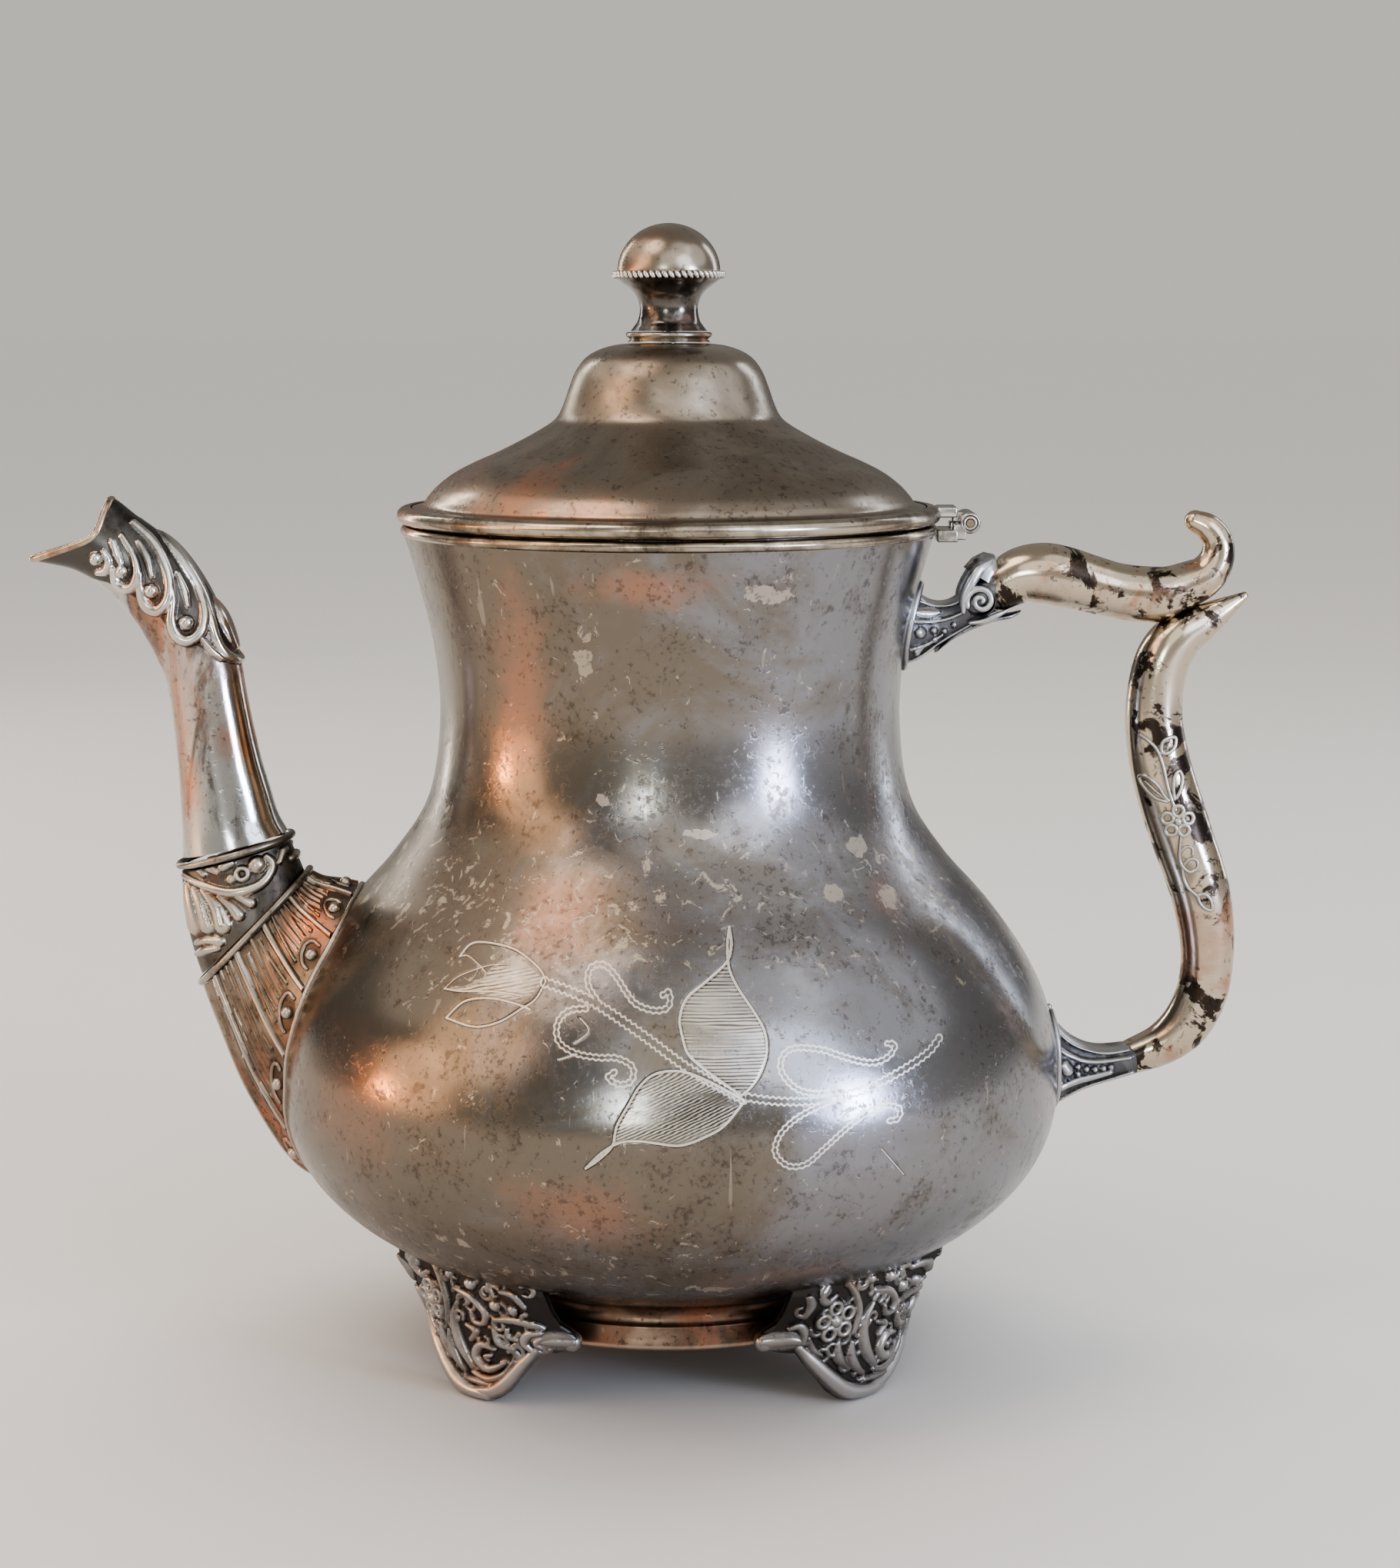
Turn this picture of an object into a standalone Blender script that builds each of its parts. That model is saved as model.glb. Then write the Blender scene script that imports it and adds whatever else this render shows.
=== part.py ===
"""Pear-shaped silver-plated teapot on four cast feet, modelled as its separate pieces.

Lengths are written in millimetres and turned into metres by MM. +Z is up, the spout points to -X and
the handle to +X. Every piece is modelled about the pot's own turning axis and parented to the empty
pot_axis, which stands off the origin so that the whole teapot is centred over it.
"""
import math

import bmesh
import bpy
from mathutils import Vector

MM = 0.001
GAP = 0.3                      # clearance between neighbouring pieces, where the real pot has solder

# Driving dimensions
SPOUT_REACH = 132.4            # pot axis to the tip of the pouring lip
HANDLE_REACH = 120.7           # pot axis to the point of the lower handle arm
BULB_RADIUS = 82.0
BULB_HEIGHT = 58.0             # level of the widest point above the table
BULB_DROP = 43.0               # how far the bulb's underside reaches below its widest point
BULB_ROUNDNESS = 2.2           # exponent of the superellipse that closes the bulb
BASE_RADIUS = 48.0             # where the bulb ends and the flat base begins
BODY_TOP = 172.6
WALL = 1.2
LID_WALL = 1.0
SPOUT_WALL = 1.3
HINGE_X = 62.0
HINGE_Z = 175.4
KNUCKLE_RADIUS = 2.2
PIN_RADIUS = 0.8
STUD_RADIUS = 1.5
LID_CROWN = 211.9              # top of the lid, where the finial is screwed on
FINIAL_TOP = 236.4
FOOT_DISTANCE = 57.0           # pot axis to the outer face of a foot
ROUND_SEGMENTS = 28

AXIS_X = (SPOUT_REACH - HANDLE_REACH) / 2

SILVER = (0.52, 0.49, 0.45)
TARNISH = (0.34, 0.30, 0.26)
PEWTER = (0.40, 0.41, 0.43)
WORN = (0.62, 0.56, 0.48)

for leftover in list(bpy.data.objects):
    bpy.data.objects.remove(leftover, do_unlink=True)

parts = bpy.data.collections.new("teapot")
cutters = bpy.data.collections.new("cutters")
for collection in (parts, cutters):
    bpy.context.scene.collection.children.link(collection)

pot_axis = bpy.data.objects.new("pot_axis", None)
pot_axis.location.x = AXIS_X * MM
bpy.context.scene.collection.objects.link(pot_axis)

# The lid and everything on it hang from an empty on the hinge pin.
lid_hinge = bpy.data.objects.new("lid_hinge", None)
lid_hinge.location = Vector((AXIS_X + HINGE_X, 0, HINGE_Z)) * MM
bpy.context.scene.collection.objects.link(lid_hinge)


# ---------------------------------------------------------------- helpers

def make_material(name, colour, roughness):
    """A metal surface of one colour."""
    material = bpy.data.materials.new(name)
    material.use_nodes = True
    shader = material.node_tree.nodes["Principled BSDF"]
    shader.inputs["Base Color"].default_value = (*colour, 1)
    shader.inputs["Metallic"].default_value = 1.0
    shader.inputs["Roughness"].default_value = roughness
    return material


def add_part(name, mesh, colour=SILVER, roughness=0.3, on_lid=False):
    """Put a mesh, given in metres about the pot axis, into the scene as a named piece."""
    piece = bpy.data.objects.new(name, mesh)
    parts.objects.link(piece)
    mesh.materials.append(make_material(name, colour, roughness))
    mesh.shade_smooth()
    mesh.set_sharp_from_angle(angle=math.radians(35))
    if on_lid:
        piece.parent = lid_hinge
        piece.location = Vector((-HINGE_X, 0, -HINGE_Z)) * MM
    else:
        piece.parent = pot_axis
    return piece


def add_cutter(name, mesh):
    """Keep a mesh as a hidden wireframe that other pieces are cut with."""
    cutter = bpy.data.objects.new(name, mesh)
    cutters.objects.link(cutter)
    cutter.parent = pot_axis
    cutter.hide_render = True
    cutter.display_type = "WIRE"
    return cutter


def boolean(piece, other, operation="DIFFERENCE"):
    """Cut, join or intersect a piece with another one."""
    modifier = piece.modifiers.new(operation.lower(), "BOOLEAN")
    modifier.operation = operation
    modifier.solver = "EXACT"
    modifier.object = other


def smooth_curve(points, steps):
    """Points along a Catmull-Rom curve through the given ones, whatever their number of coordinates."""
    ends = [points[0], *points, points[-1]]
    curve = []
    for before, start, end, after in zip(ends, ends[1:], ends[2:], ends[3:]):
        for step in range(steps):
            t = step / steps
            curve.append(tuple(
                0.5 * (2 * b + (c - a) * t + (2 * a - 5 * b + 4 * c - d) * t ** 2
                       + (3 * b - a - 3 * c + d) * t ** 3)
                for a, b, c, d in zip(before, start, end, after)))
    curve.append(tuple(points[-1]))
    return curve


def turned(profile, closed=False, segments=ROUND_SEGMENTS, thickness=0.0):
    """Mesh of a profile of (radius, height) turned about the pot axis.

    The profile runs down the outer side. A thickness grows the surface inwards.
    """
    mesh = bpy.data.meshes.new("profile")
    vertices = [(radius * MM, 0, height * MM) for radius, height in profile]
    edges = [(i, i + 1) for i in range(len(profile) - 1)]
    if closed:
        edges.append((len(profile) - 1, 0))
    mesh.from_pydata(vertices, edges, [])
    blank = bpy.data.objects.new("profile", mesh)
    parts.objects.link(blank)
    screw = blank.modifiers.new("turn", "SCREW")
    screw.steps = segments
    screw.render_steps = segments
    screw.use_merge_vertices = True
    screw.merge_threshold = 0.00001
    if thickness:
        shell = blank.modifiers.new("wall", "SOLIDIFY")
        shell.thickness = thickness * MM
        shell.offset = -1
        shell.use_even_offset = True
    return evaluated_mesh(blank)


def evaluated_mesh(blank):
    """The mesh an object shows after its modifiers; the object itself is removed."""
    bpy.context.view_layer.update()
    depsgraph = bpy.context.evaluated_depsgraph_get()
    mesh = bpy.data.meshes.new_from_object(blank.evaluated_get(depsgraph))
    mesh.name = blank.name
    bpy.data.objects.remove(blank, do_unlink=True)
    return mesh


def loft(sections, points=20):
    """Closed mesh through elliptical sections that stand across the XZ plane.

    A section is (x, z, slope, half_length, half_width, y): its centre, the slope in degrees of its long
    axis in the XZ plane, its half size along that axis and along Y, and its shift along Y.
    """
    rings = []
    for x, z, slope, half_length, half_width, y in sections:
        along = Vector((math.cos(math.radians(slope)), 0, math.sin(math.radians(slope))))
        ring = []
        for index in range(points):
            angle = 2 * math.pi * index / points
            offset = along * half_length * math.cos(angle)
            offset.y = half_width * math.sin(angle)
            ring.append((Vector((x, y, z)) + offset) * MM)
        rings.append(ring)
    builder = bmesh.new()
    loops = [[builder.verts.new(point) for point in ring] for ring in rings]
    for low, high in zip(loops, loops[1:]):
        for index in range(points):
            following = (index + 1) % points
            builder.faces.new((low[index], low[following], high[following], high[index]))
    builder.faces.new(loops[0])
    builder.faces.new(loops[-1])
    return finished(builder)


def finished(builder):
    """Mesh of a bmesh whose faces are turned to point outwards."""
    bmesh.ops.recalc_face_normals(builder, faces=builder.faces)
    mesh = bpy.data.meshes.new("built")
    builder.to_mesh(mesh)
    builder.free()
    return mesh


def rod(points, bevel_resolution=4):
    """Mesh of a round bar of changing radius along (x, z, radius) points in the XZ plane."""
    curve = bpy.data.curves.new("rod", "CURVE")
    curve.dimensions = "3D"
    curve.bevel_depth = MM
    curve.bevel_resolution = bevel_resolution
    curve.use_fill_caps = True
    spline = curve.splines.new("POLY")
    spline.points.add(len(points) - 1)
    for point, (x, z, radius) in zip(spline.points, points):
        point.co = (x * MM, 0, z * MM, 1)
        point.radius = radius
    blank = bpy.data.objects.new("rod", curve)
    parts.objects.link(blank)
    mesh = evaluated_mesh(blank)
    builder = bmesh.new()
    builder.from_mesh(mesh)
    bmesh.ops.remove_doubles(builder, verts=builder.verts, dist=0.00001)
    return finished(builder)


def block(low, high):
    """Box mesh between two corners given in millimetres."""
    builder = bmesh.new()
    bmesh.ops.create_cube(builder, size=1)
    low, high = Vector(low) * MM, Vector(high) * MM
    for vertex in builder.verts:
        for axis in range(3):
            vertex.co[axis] = low[axis] if vertex.co[axis] < 0 else high[axis]
    return finished(builder)


def cross_bar(x, z, radius, y_low, y_high, sides=20):
    """Cylinder mesh along Y, centred at (x, z)."""
    builder = bmesh.new()
    bmesh.ops.create_cone(builder, cap_ends=True, segments=sides, radius1=radius * MM,
                          radius2=radius * MM, depth=(y_high - y_low) * MM)
    middle = (y_low + y_high) / 2
    for vertex in builder.verts:
        across, along = vertex.co.y, vertex.co.z
        vertex.co = Vector((vertex.co.x + x * MM, middle * MM - along, across + z * MM))
    return finished(builder)


def upright_bar(radius, low, high, sides=16):
    """Cylinder or prism mesh on the pot axis between two heights."""
    builder = bmesh.new()
    bmesh.ops.create_cone(builder, cap_ends=True, segments=sides, radius1=radius * MM,
                          radius2=radius * MM, depth=(high - low) * MM)
    bmesh.ops.translate(builder, verts=builder.verts, vec=Vector((0, 0, (low + high) / 2 * MM)))
    return finished(builder)


# ---------------------------------------------------------------- body

def body_outline():
    """Outer side of the body as (radius, height), from the mouth down to the edge of the base."""
    outline = smooth_curve([(54.9, BODY_TOP), (52.0, 163.0), (49.0, 149.0), (48.1, 134.0), (50.6, 118.0),
                            (58.2, 105.8), (68.4, 94.2), (77.2, 80.8), (81.4, 68.0),
                            (BULB_RADIUS, BULB_HEIGHT)], 2)[:-1]
    steps = 7
    for step in range(steps + 1):
        radius = BULB_RADIUS + (BASE_RADIUS - BULB_RADIUS) * (1 - math.cos(step / steps * math.pi / 2))
        share = 1 - (radius / BULB_RADIUS) ** BULB_ROUNDNESS
        outline.append((radius, BULB_HEIGHT - BULB_DROP * share ** (1 / BULB_ROUNDNESS)))
    return outline


BODY_OUTLINE = body_outline()
BASE_HEIGHT = BODY_OUTLINE[-1][1]


def grown(outline, distance):
    """An outline of (radius, height) moved outwards, square to itself, by a distance."""
    result = []
    for index, (radius, height) in enumerate(outline):
        r_before, z_before = outline[max(index - 1, 0)]
        r_after, z_after = outline[min(index + 1, len(outline) - 1)]
        length = math.hypot(r_after - r_before, z_after - z_before)
        result.append((radius + distance * (z_before - z_after) / length,
                       height + distance * (r_after - r_before) / length))
    return result


def body_blank(extra):
    """Closed mesh of the whole body volume, grown by a clearance."""
    outline = grown(BODY_OUTLINE, extra)
    return turned([(0, BODY_TOP + 6), (outline[0][0], BODY_TOP + 6), *outline, (0, BASE_HEIGHT - extra)])


body_clearance = add_cutter("body_clearance", body_blank(GAP))

body_shell = add_part("body_shell", turned([*BODY_OUTLINE, (0, BASE_HEIGHT)], thickness=WALL),
                      TARNISH, 0.35)

# The rim is a half-round moulding that stiffens the mouth and carries the lid.
add_part("neck_rim", turned([(54.0, 174.9), (55.0, 174.9), (55.6, 174.2), (55.5, 173.4), (55.0, 172.9),
                             (54.0, 172.9)], closed=True), SILVER, 0.25)

# The foot ring is a spun band under the base: a hollow neck and a flared lower edge.
add_part("foot_ring", turned([(46.6, BASE_HEIGHT - GAP), (45.2, 19.8), (44.9, 18.4), (45.3, 17.2),
                              (45.9, 16.6), (46.6, 12.0), (45.2, 12.0), (44.4, 16.2),
                              (43.6, 17.2), (43.2, 18.6), (43.6, 20.0), (45.0, BASE_HEIGHT - GAP)],
                             closed=True), TARNISH, 0.4)


# ---------------------------------------------------------------- spout

# Sections of the spout from inside the body to the mouth: x, z, slope, half length, half width.
SKIRT = [(-66.5, 66.0, 79, 31.0, 29.0), (-72.5, 69.0, 76, 30.0, 26.0), (-79.0, 76.0, 68, 25.0, 20.0),
         (-84.0, 83.5, 57, 19.4, 15.0), (-87.2, 89.2, 47, 16.2, 12.4)]
COLLAR = [(-88.3, 90.6, 45, 15.4, 11.8), (-89.8, 95.6, 35, 14.2, 11.0), (-91.0, 100.8, 25, 12.9, 10.2),
          (-91.5, 105.0, 16, 11.9, 9.6)]
TUBE = [(-91.7, 107.6, 14, 11.4, 9.4), (-92.6, 112.0, 10, 10.3, 8.8), (-93.4, 117.5, 7, 9.6, 8.3),
        (-94.5, 124.5, 6, 8.8, 7.8), (-95.6, 132.0, 6, 8.3, 7.4), (-96.7, 139.5, 6, 8.1, 7.2),
        (-97.2, 143.0, 6, 8.1, 7.2)]
BEAK = [(-97.4, 144.0, 6, 8.8, 7.8), (-98.7, 148.5, 6, 8.9, 7.9), (-100.6, 152.8, 9, 8.9, 7.8),
        (-103.4, 157.4, 14, 8.7, 7.6), (-107.3, 162.6, 22, 8.8, 7.4), (-111.8, 167.3, 31, 8.7, 7.1),
        (-117.2, 170.9, 40, 8.7, 6.7), (-122.2, 173.4, 46, 9.6, 6.0), (-126.6, 174.4, 50, 9.4, 5.2)]


def resized(sections, growth):
    """Sections with both half sizes changed by a length."""
    return [(x, z, slope, a + growth, b + growth, 0) for x, z, slope, a, b in sections]


def extended(sections, reach):
    """Sections with one more at each end, carried straight on by a length."""
    result = list(sections)
    for index, neighbour in ((0, 1), (-1, -2)):
        end, inner = sections[index], sections[neighbour]
        step = Vector((end[0] - inner[0], end[1] - inner[1])).normalized() * reach
        extra = (end[0] + step.x, end[1] + step.y, *end[2:])
        result.insert(0 if index == 0 else len(result), extra)
    return result


def spout_piece(name, sections, colour, roughness):
    """A length of spout: a loft with its bore cut through."""
    piece = add_part(name, loft(resized(sections, 0)), colour, roughness)
    bore = add_cutter(name + "_bore", loft(extended(resized(sections, -SPOUT_WALL), 3.0)))
    boolean(piece, bore)
    return piece


spout_skirt = spout_piece("spout_skirt", SKIRT, TARNISH, 0.4)
boolean(spout_skirt, body_clearance)
spout_piece("spout_collar", COLLAR, TARNISH, 0.45)
spout_piece("spout_tube", TUBE, SILVER, 0.2)
spout_beak = spout_piece("spout_beak", BEAK, PEWTER, 0.4)


def beak_mouth_mesh():
    """Prism over the pouring lip: it opens the mouth from the peak back to the notch and out to the lip."""
    side = [(-115.2, 182.0), (-116.6, 179.3), (-118.8, 171.4), (-134.5, 167.1), (-140.0, 175.0),
            (-125.0, 192.0)]
    builder = bmesh.new()
    near = [builder.verts.new(Vector((x, -14, z)) * MM) for x, z in side]
    far = [builder.verts.new(Vector((x, 14, z)) * MM) for x, z in side]
    builder.faces.new(near)
    builder.faces.new(reversed(far))
    for index in range(len(side)):
        following = (index + 1) % len(side)
        builder.faces.new((near[index], far[index], far[following], near[following]))
    return finished(builder)


boolean(spout_beak, add_cutter("beak_mouth", beak_mouth_mesh()))


def oval_ring(x, z, slope, half_length, half_width, wire):
    """Mesh of a round wire bent into an ellipse across the XZ plane."""
    curve = bpy.data.curves.new("ring", "CURVE")
    curve.dimensions = "3D"
    curve.bevel_depth = wire * MM
    curve.bevel_resolution = 2
    spline = curve.splines.new("POLY")
    count = 24
    spline.points.add(count - 1)
    spline.use_cyclic_u = True
    for index, point in enumerate(spline.points):
        angle = 2 * math.pi * index / count
        reach = half_length * math.cos(angle)
        point.co = ((x + reach * math.cos(math.radians(slope))) * MM, half_width * math.sin(angle) * MM,
                    (z + reach * math.sin(math.radians(slope))) * MM, 1)
    blank = bpy.data.objects.new("ring", curve)
    parts.objects.link(blank)
    builder = bmesh.new()
    builder.from_mesh(evaluated_mesh(blank))
    return finished(builder)


# Two wire mouldings hide the seams between skirt, collar and tube.
RING_WIRE = 0.9
LOWER_RING = (-87.75, 89.9, 46, 17.4, 13.6)
UPPER_RING = (-91.6, 106.3, 15, 12.9, 10.9)
add_part("spout_ring_lower", oval_ring(*LOWER_RING, RING_WIRE), SILVER, 0.3)
add_part("spout_ring_upper", oval_ring(*UPPER_RING, RING_WIRE), SILVER, 0.3)


# The wall is open behind the spout, and a pierced plate on its inner side holds back the leaves.
STRAINER_Z = 68.0
STRAINER_HALF_HEIGHT = 19.0
STRAINER_HALF_WIDTH = 14.0
HOLE_RADIUS = 1.5
HOLE_PITCH = 6.0


def oval_prism(x_low, x_high, half_width, half_height, points=28):
    """Elliptical prism mesh along X through the strainer."""
    rings = []
    builder = bmesh.new()
    for x in (x_low, x_high):
        ring = []
        for index in range(points):
            angle = 2 * math.pi * index / points
            place = (x, half_width * math.cos(angle), STRAINER_Z + half_height * math.sin(angle))
            ring.append(builder.verts.new(Vector(place) * MM))
        rings.append(ring)
    for index in range(points):
        following = (index + 1) % points
        builder.faces.new((rings[0][index], rings[0][following], rings[1][following], rings[1][index]))
    builder.faces.new(rings[0])
    builder.faces.new(rings[1])
    return finished(builder)


def strainer_holes_mesh():
    """Separate round bars along X, in staggered rows that stay inside the plate's edge."""
    builder = bmesh.new()
    for row in range(-2, 3):
        for column in range(-2, 3):
            y = (column + 0.5 * (row % 2)) * HOLE_PITCH
            z = row * HOLE_PITCH
            inside = (y / (STRAINER_HALF_WIDTH - 2)) ** 2 + (z / (STRAINER_HALF_HEIGHT - 2)) ** 2 < 1
            if not inside:
                continue
            bar = bmesh.ops.create_cone(builder, cap_ends=True, segments=10, radius1=HOLE_RADIUS * MM,
                                        radius2=HOLE_RADIUS * MM, depth=30 * MM)
            for vertex in bar["verts"]:
                across, up, along = vertex.co
                vertex.co = Vector((along - 78 * MM, y * MM + across, (z + STRAINER_Z) * MM + up))
    return finished(builder)


opening = add_cutter("spout_opening", oval_prism(-95, -60, STRAINER_HALF_WIDTH, STRAINER_HALF_HEIGHT))
boolean(body_shell, opening)

plate_skin = grown([(radius, height) for radius, height in BODY_OUTLINE if 38 < height < 99], -WALL - GAP)
strainer_plate = add_part("strainer_plate", turned(plate_skin, thickness=0.8), SILVER, 0.4)
plate_outline = add_cutter("plate_outline", oval_prism(-95, -50, STRAINER_HALF_WIDTH + 3,
                                                       STRAINER_HALF_HEIGHT + 3))
boolean(strainer_plate, plate_outline, "INTERSECT")
boolean(strainer_plate, add_cutter("strainer_holes", strainer_holes_mesh()))


# ---------------------------------------------------------------- handle

UPPER_ARM = [(69.0, 161.9, 5.1), (73.3, 164.1, 5.9), (77.8, 164.5, 6.4), (82.3, 163.7, 6.4),
             (87.5, 162.4, 6.0), (92.8, 161.0, 5.8), (98.0, 160.2, 5.9), (103.0, 160.3, 5.7),
             (107.5, 162.0, 4.9), (111.8, 164.2, 4.3), (114.0, 167.8, 3.6), (113.9, 171.4, 3.2),
             (111.8, 174.1, 2.9), (109.3, 175.4, 2.3)]
LOWER_ARM = [(119.9, 159.8, 0.9), (115.4, 156.9, 2.6), (110.6, 153.9, 4.1), (106.4, 151.2, 5.2),
             (103.4, 146.9, 5.7), (101.9, 140.9, 5.8), (101.6, 133.7, 6.0), (102.7, 126.3, 6.3),
             (104.3, 120.2, 6.5), (106.3, 114.0, 6.6), (108.5, 107.8, 6.5), (110.8, 101.6, 6.4),
             (112.6, 95.4, 6.2), (113.8, 88.2, 5.8), (114.0, 81.5, 5.5), (112.9, 74.8, 5.4),
             (109.9, 68.6, 5.2), (105.0, 64.2, 4.5), (98.6, 61.4, 3.8)]


def arm_clearance(name, points):
    """A cutter that follows an arm with the solder gap around it."""
    return add_cutter(name, rod([(x, z, radius + GAP) for x, z, radius in smooth_curve(points, 2)]))


add_part("handle_upper_arm", rod(smooth_curve(UPPER_ARM, 2)), WORN, 0.3)
lower_arm = add_part("handle_lower_arm", rod(smooth_curve(LOWER_ARM, 2)), WORN, 0.3)
upper_arm_clearance = arm_clearance("upper_arm_clearance", UPPER_ARM)
lower_arm_clearance = arm_clearance("lower_arm_clearance", LOWER_ARM)

# The lower arm is mitred to the underside of the upper one.
boolean(lower_arm, upper_arm_clearance)

# Cast brackets flare out from the arms on to the body. The upper one has a leaf under the arm.
UPPER_BRACKET = [(44.0, 151.4, 86, 11.6, 7.0, 0), (50.5, 151.9, 80, 9.6, 6.4, 0),
                 (54.5, 153.4, 72, 6.6, 5.6, 0), (59.5, 156.0, 66, 4.6, 4.9, 0),
                 (63.5, 158.8, 64, 5.4, 4.9, 0), (68.6, 161.3, 66, 5.4, 5.0, 0)]
LOWER_BRACKET = [(97.9, 61.2, 82, 3.8, 3.9, 0), (93.6, 59.9, 82, 4.1, 4.3, 0),
                 (89.2, 59.4, 86, 5.9, 5.6, 0), (85.0, 59.4, 88, 8.6, 7.4, 0),
                 (78.0, 59.6, 90, 11.4, 9.0, 0)]
for name, sections, arm in (("handle_upper_bracket", UPPER_BRACKET, upper_arm_clearance),
                            ("handle_lower_bracket", LOWER_BRACKET, lower_arm_clearance)):
    bracket = add_part(name, loft(sections), PEWTER, 0.35)
    boolean(bracket, body_clearance)
    boolean(bracket, arm)

# A flower sprig is soldered on each side of the lower arm: x, z, slope across the stem, half width.
SPRIG = [(99.6, 131.0, -20, 0.7), (102.8, 125.6, -10, 1.2), (105.0, 117.8, 10, 1.0),
         (106.2, 114.6, 10, 3.0), (107.2, 112.2, 10, 3.6), (108.0, 109.6, 10, 3.0),
         (108.4, 106.6, 10, 0.9), (109.2, 101.4, 15, 1.8), (112.0, 96.6, 20, 1.2), (113.4, 94.4, 20, 0.6)]
SPRIG_THICKNESS = 0.7
ARM_RADIUS = 6.6               # the lower arm's radius where the flower sits
SPRIG_OFFSET = ARM_RADIUS + GAP + SPRIG_THICKNESS
for name, side in (("handle_sprig_front", -1), ("handle_sprig_back", 1)):
    ribbon = [(x, z, slope, width, SPRIG_THICKNESS, side * SPRIG_OFFSET) for x, z, slope, width in SPRIG]
    add_part(name, loft(ribbon, points=10), SILVER, 0.35)


# ---------------------------------------------------------------- feet

FOOT_THICKNESS = 3.6
FOOT_LEAN = 0.14               # the foot's top leans outwards by this share of its height
FOOT_BEND = 30.0               # radius of the bend across the foot
FOOT_HALF_WIDTH = 26.0         # along the bend
FOOT_LOWER_EDGE = [(0.0, -1.0), (4.0, -1.0), (9.0, 2.4), (12.6, 6.4), (15.8, 9.8), (17.6, 12.0), (21.2, 12.4),
                   (FOOT_HALF_WIDTH, 13.2)]
FOOT_UPPER_EDGE = [(0.0, 36.0), (14.0, 36.0), (17.6, 36.0), (19.0, 24.0), (20.5, 19.6),
                   (FOOT_HALF_WIDTH, 17.0)]


def edge_height(edge, across):
    """Height of an edge, given by key points, at a distance from the foot's middle."""
    for (near, z_near), (far, z_far) in zip(edge, edge[1:]):
        if across <= far:
            return z_near + (z_far - z_near) * (across - near) / (far - near)
    return edge[-1][1]


def foot_mesh():
    """Shield-shaped plate with two side arms, bent across, at azimuth zero."""
    columns, rows = 14, 3
    builder = bmesh.new()
    grid = []
    for column in range(columns + 1):
        across = FOOT_HALF_WIDTH * (2 * column / columns - 1)
        low = edge_height(FOOT_LOWER_EDGE, abs(across))
        high = edge_height(FOOT_UPPER_EDGE, abs(across))
        line = []
        for row in range(rows + 1):
            height = low + (high - low) * row / rows
            angle = across / FOOT_BEND
            out = FOOT_DISTANCE + FOOT_LEAN * (height - 6) - FOOT_BEND * (1 - math.cos(angle))
            place = (out, FOOT_BEND * math.sin(angle), height)
            line.append(builder.verts.new(Vector(place) * MM))
        grid.append(line)
    for left, right in zip(grid, grid[1:]):
        for row in range(rows):
            builder.faces.new((left[row], right[row], right[row + 1], left[row + 1]))
    mesh = bpy.data.meshes.new("foot")
    builder.to_mesh(mesh)
    builder.free()
    return mesh


def foot_blank_mesh():
    """The foot's plate at its real thickness."""
    blank = bpy.data.objects.new("foot", foot_mesh())
    parts.objects.link(blank)
    plate = blank.modifiers.new("plate", "SOLIDIFY")
    plate.thickness = FOOT_THICKNESS * MM
    plate.offset = -1
    plate.use_even_offset = True
    return evaluated_mesh(blank)


ground = add_cutter("ground", block((-100, -100, -20), (100, 100, 0)))
foot_blank = foot_blank_mesh()
FEET = {"foot_back_right": 45, "foot_back_left": 135, "foot_front_left": 225, "foot_front_right": 315}
for name, azimuth in FEET.items():
    foot = add_part(name, foot_blank.copy(), PEWTER, 0.4)
    foot.rotation_euler.z = math.radians(azimuth)
    boolean(foot, body_clearance)
    boolean(foot, ground)


# ---------------------------------------------------------------- lid and hinge

LID_OUTLINE = [(STUD_RADIUS + 0.3, LID_CROWN), (9.0, LID_CROWN), (13.6, 211.0), (17.0, 209.2),
               (19.2, 206.4), (20.6, 203.0), (21.8, 199.6), (23.2, 196.9), (25.6, 195.0),
               (30.2, 192.4), (35.4, 189.8), (40.4, 187.6), (44.6, 185.4), (48.0, 182.8),
               (50.0, 180.6), (51.2, 179.0), (53.2, 178.6)]
add_part("lid_shell", turned(LID_OUTLINE, thickness=LID_WALL), TARNISH, 0.35, on_lid=True)

# The lid's rolled edge, and the bezel that drops into the mouth.
add_part("lid_flange", turned([(53.5, 178.7), (55.2, 178.6), (56.1, 177.9), (56.3, 177.1), (55.9, 176.1),
                               (54.9, 175.4), (53.5, 175.3)], closed=True), SILVER, 0.2, on_lid=True)
add_part("lid_bezel", turned([(51.3, 177.2), (52.1, 177.2), (51.9, 169.8), (51.1, 169.8)], closed=True),
         SILVER, 0.35, on_lid=True)

LEAF_REACH = HINGE_X - KNUCKLE_RADIUS - GAP      # where a leaf stops short of the other's knuckle
INNER_KNUCKLE = 2.2                              # half length of the lid's knuckle along Y
OUTER_KNUCKLE = 6.6                              # outer end of the body's two knuckles


def joined(name, meshes, bore, colour, on_lid=False):
    """A piece made of several solids joined together, with the pin's hole through it."""
    piece = add_part(name, meshes[0], colour, 0.3, on_lid)
    for index, mesh in enumerate(meshes[1:]):
        boolean(piece, add_cutter(f"{name}_{index}", mesh), "UNION")
    boolean(piece, bore)
    return piece


PIN_CLEARANCE = 0.1
PIN_REACH = OUTER_KNUCKLE + 0.4                  # the pin's end beyond the outer knuckles

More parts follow.
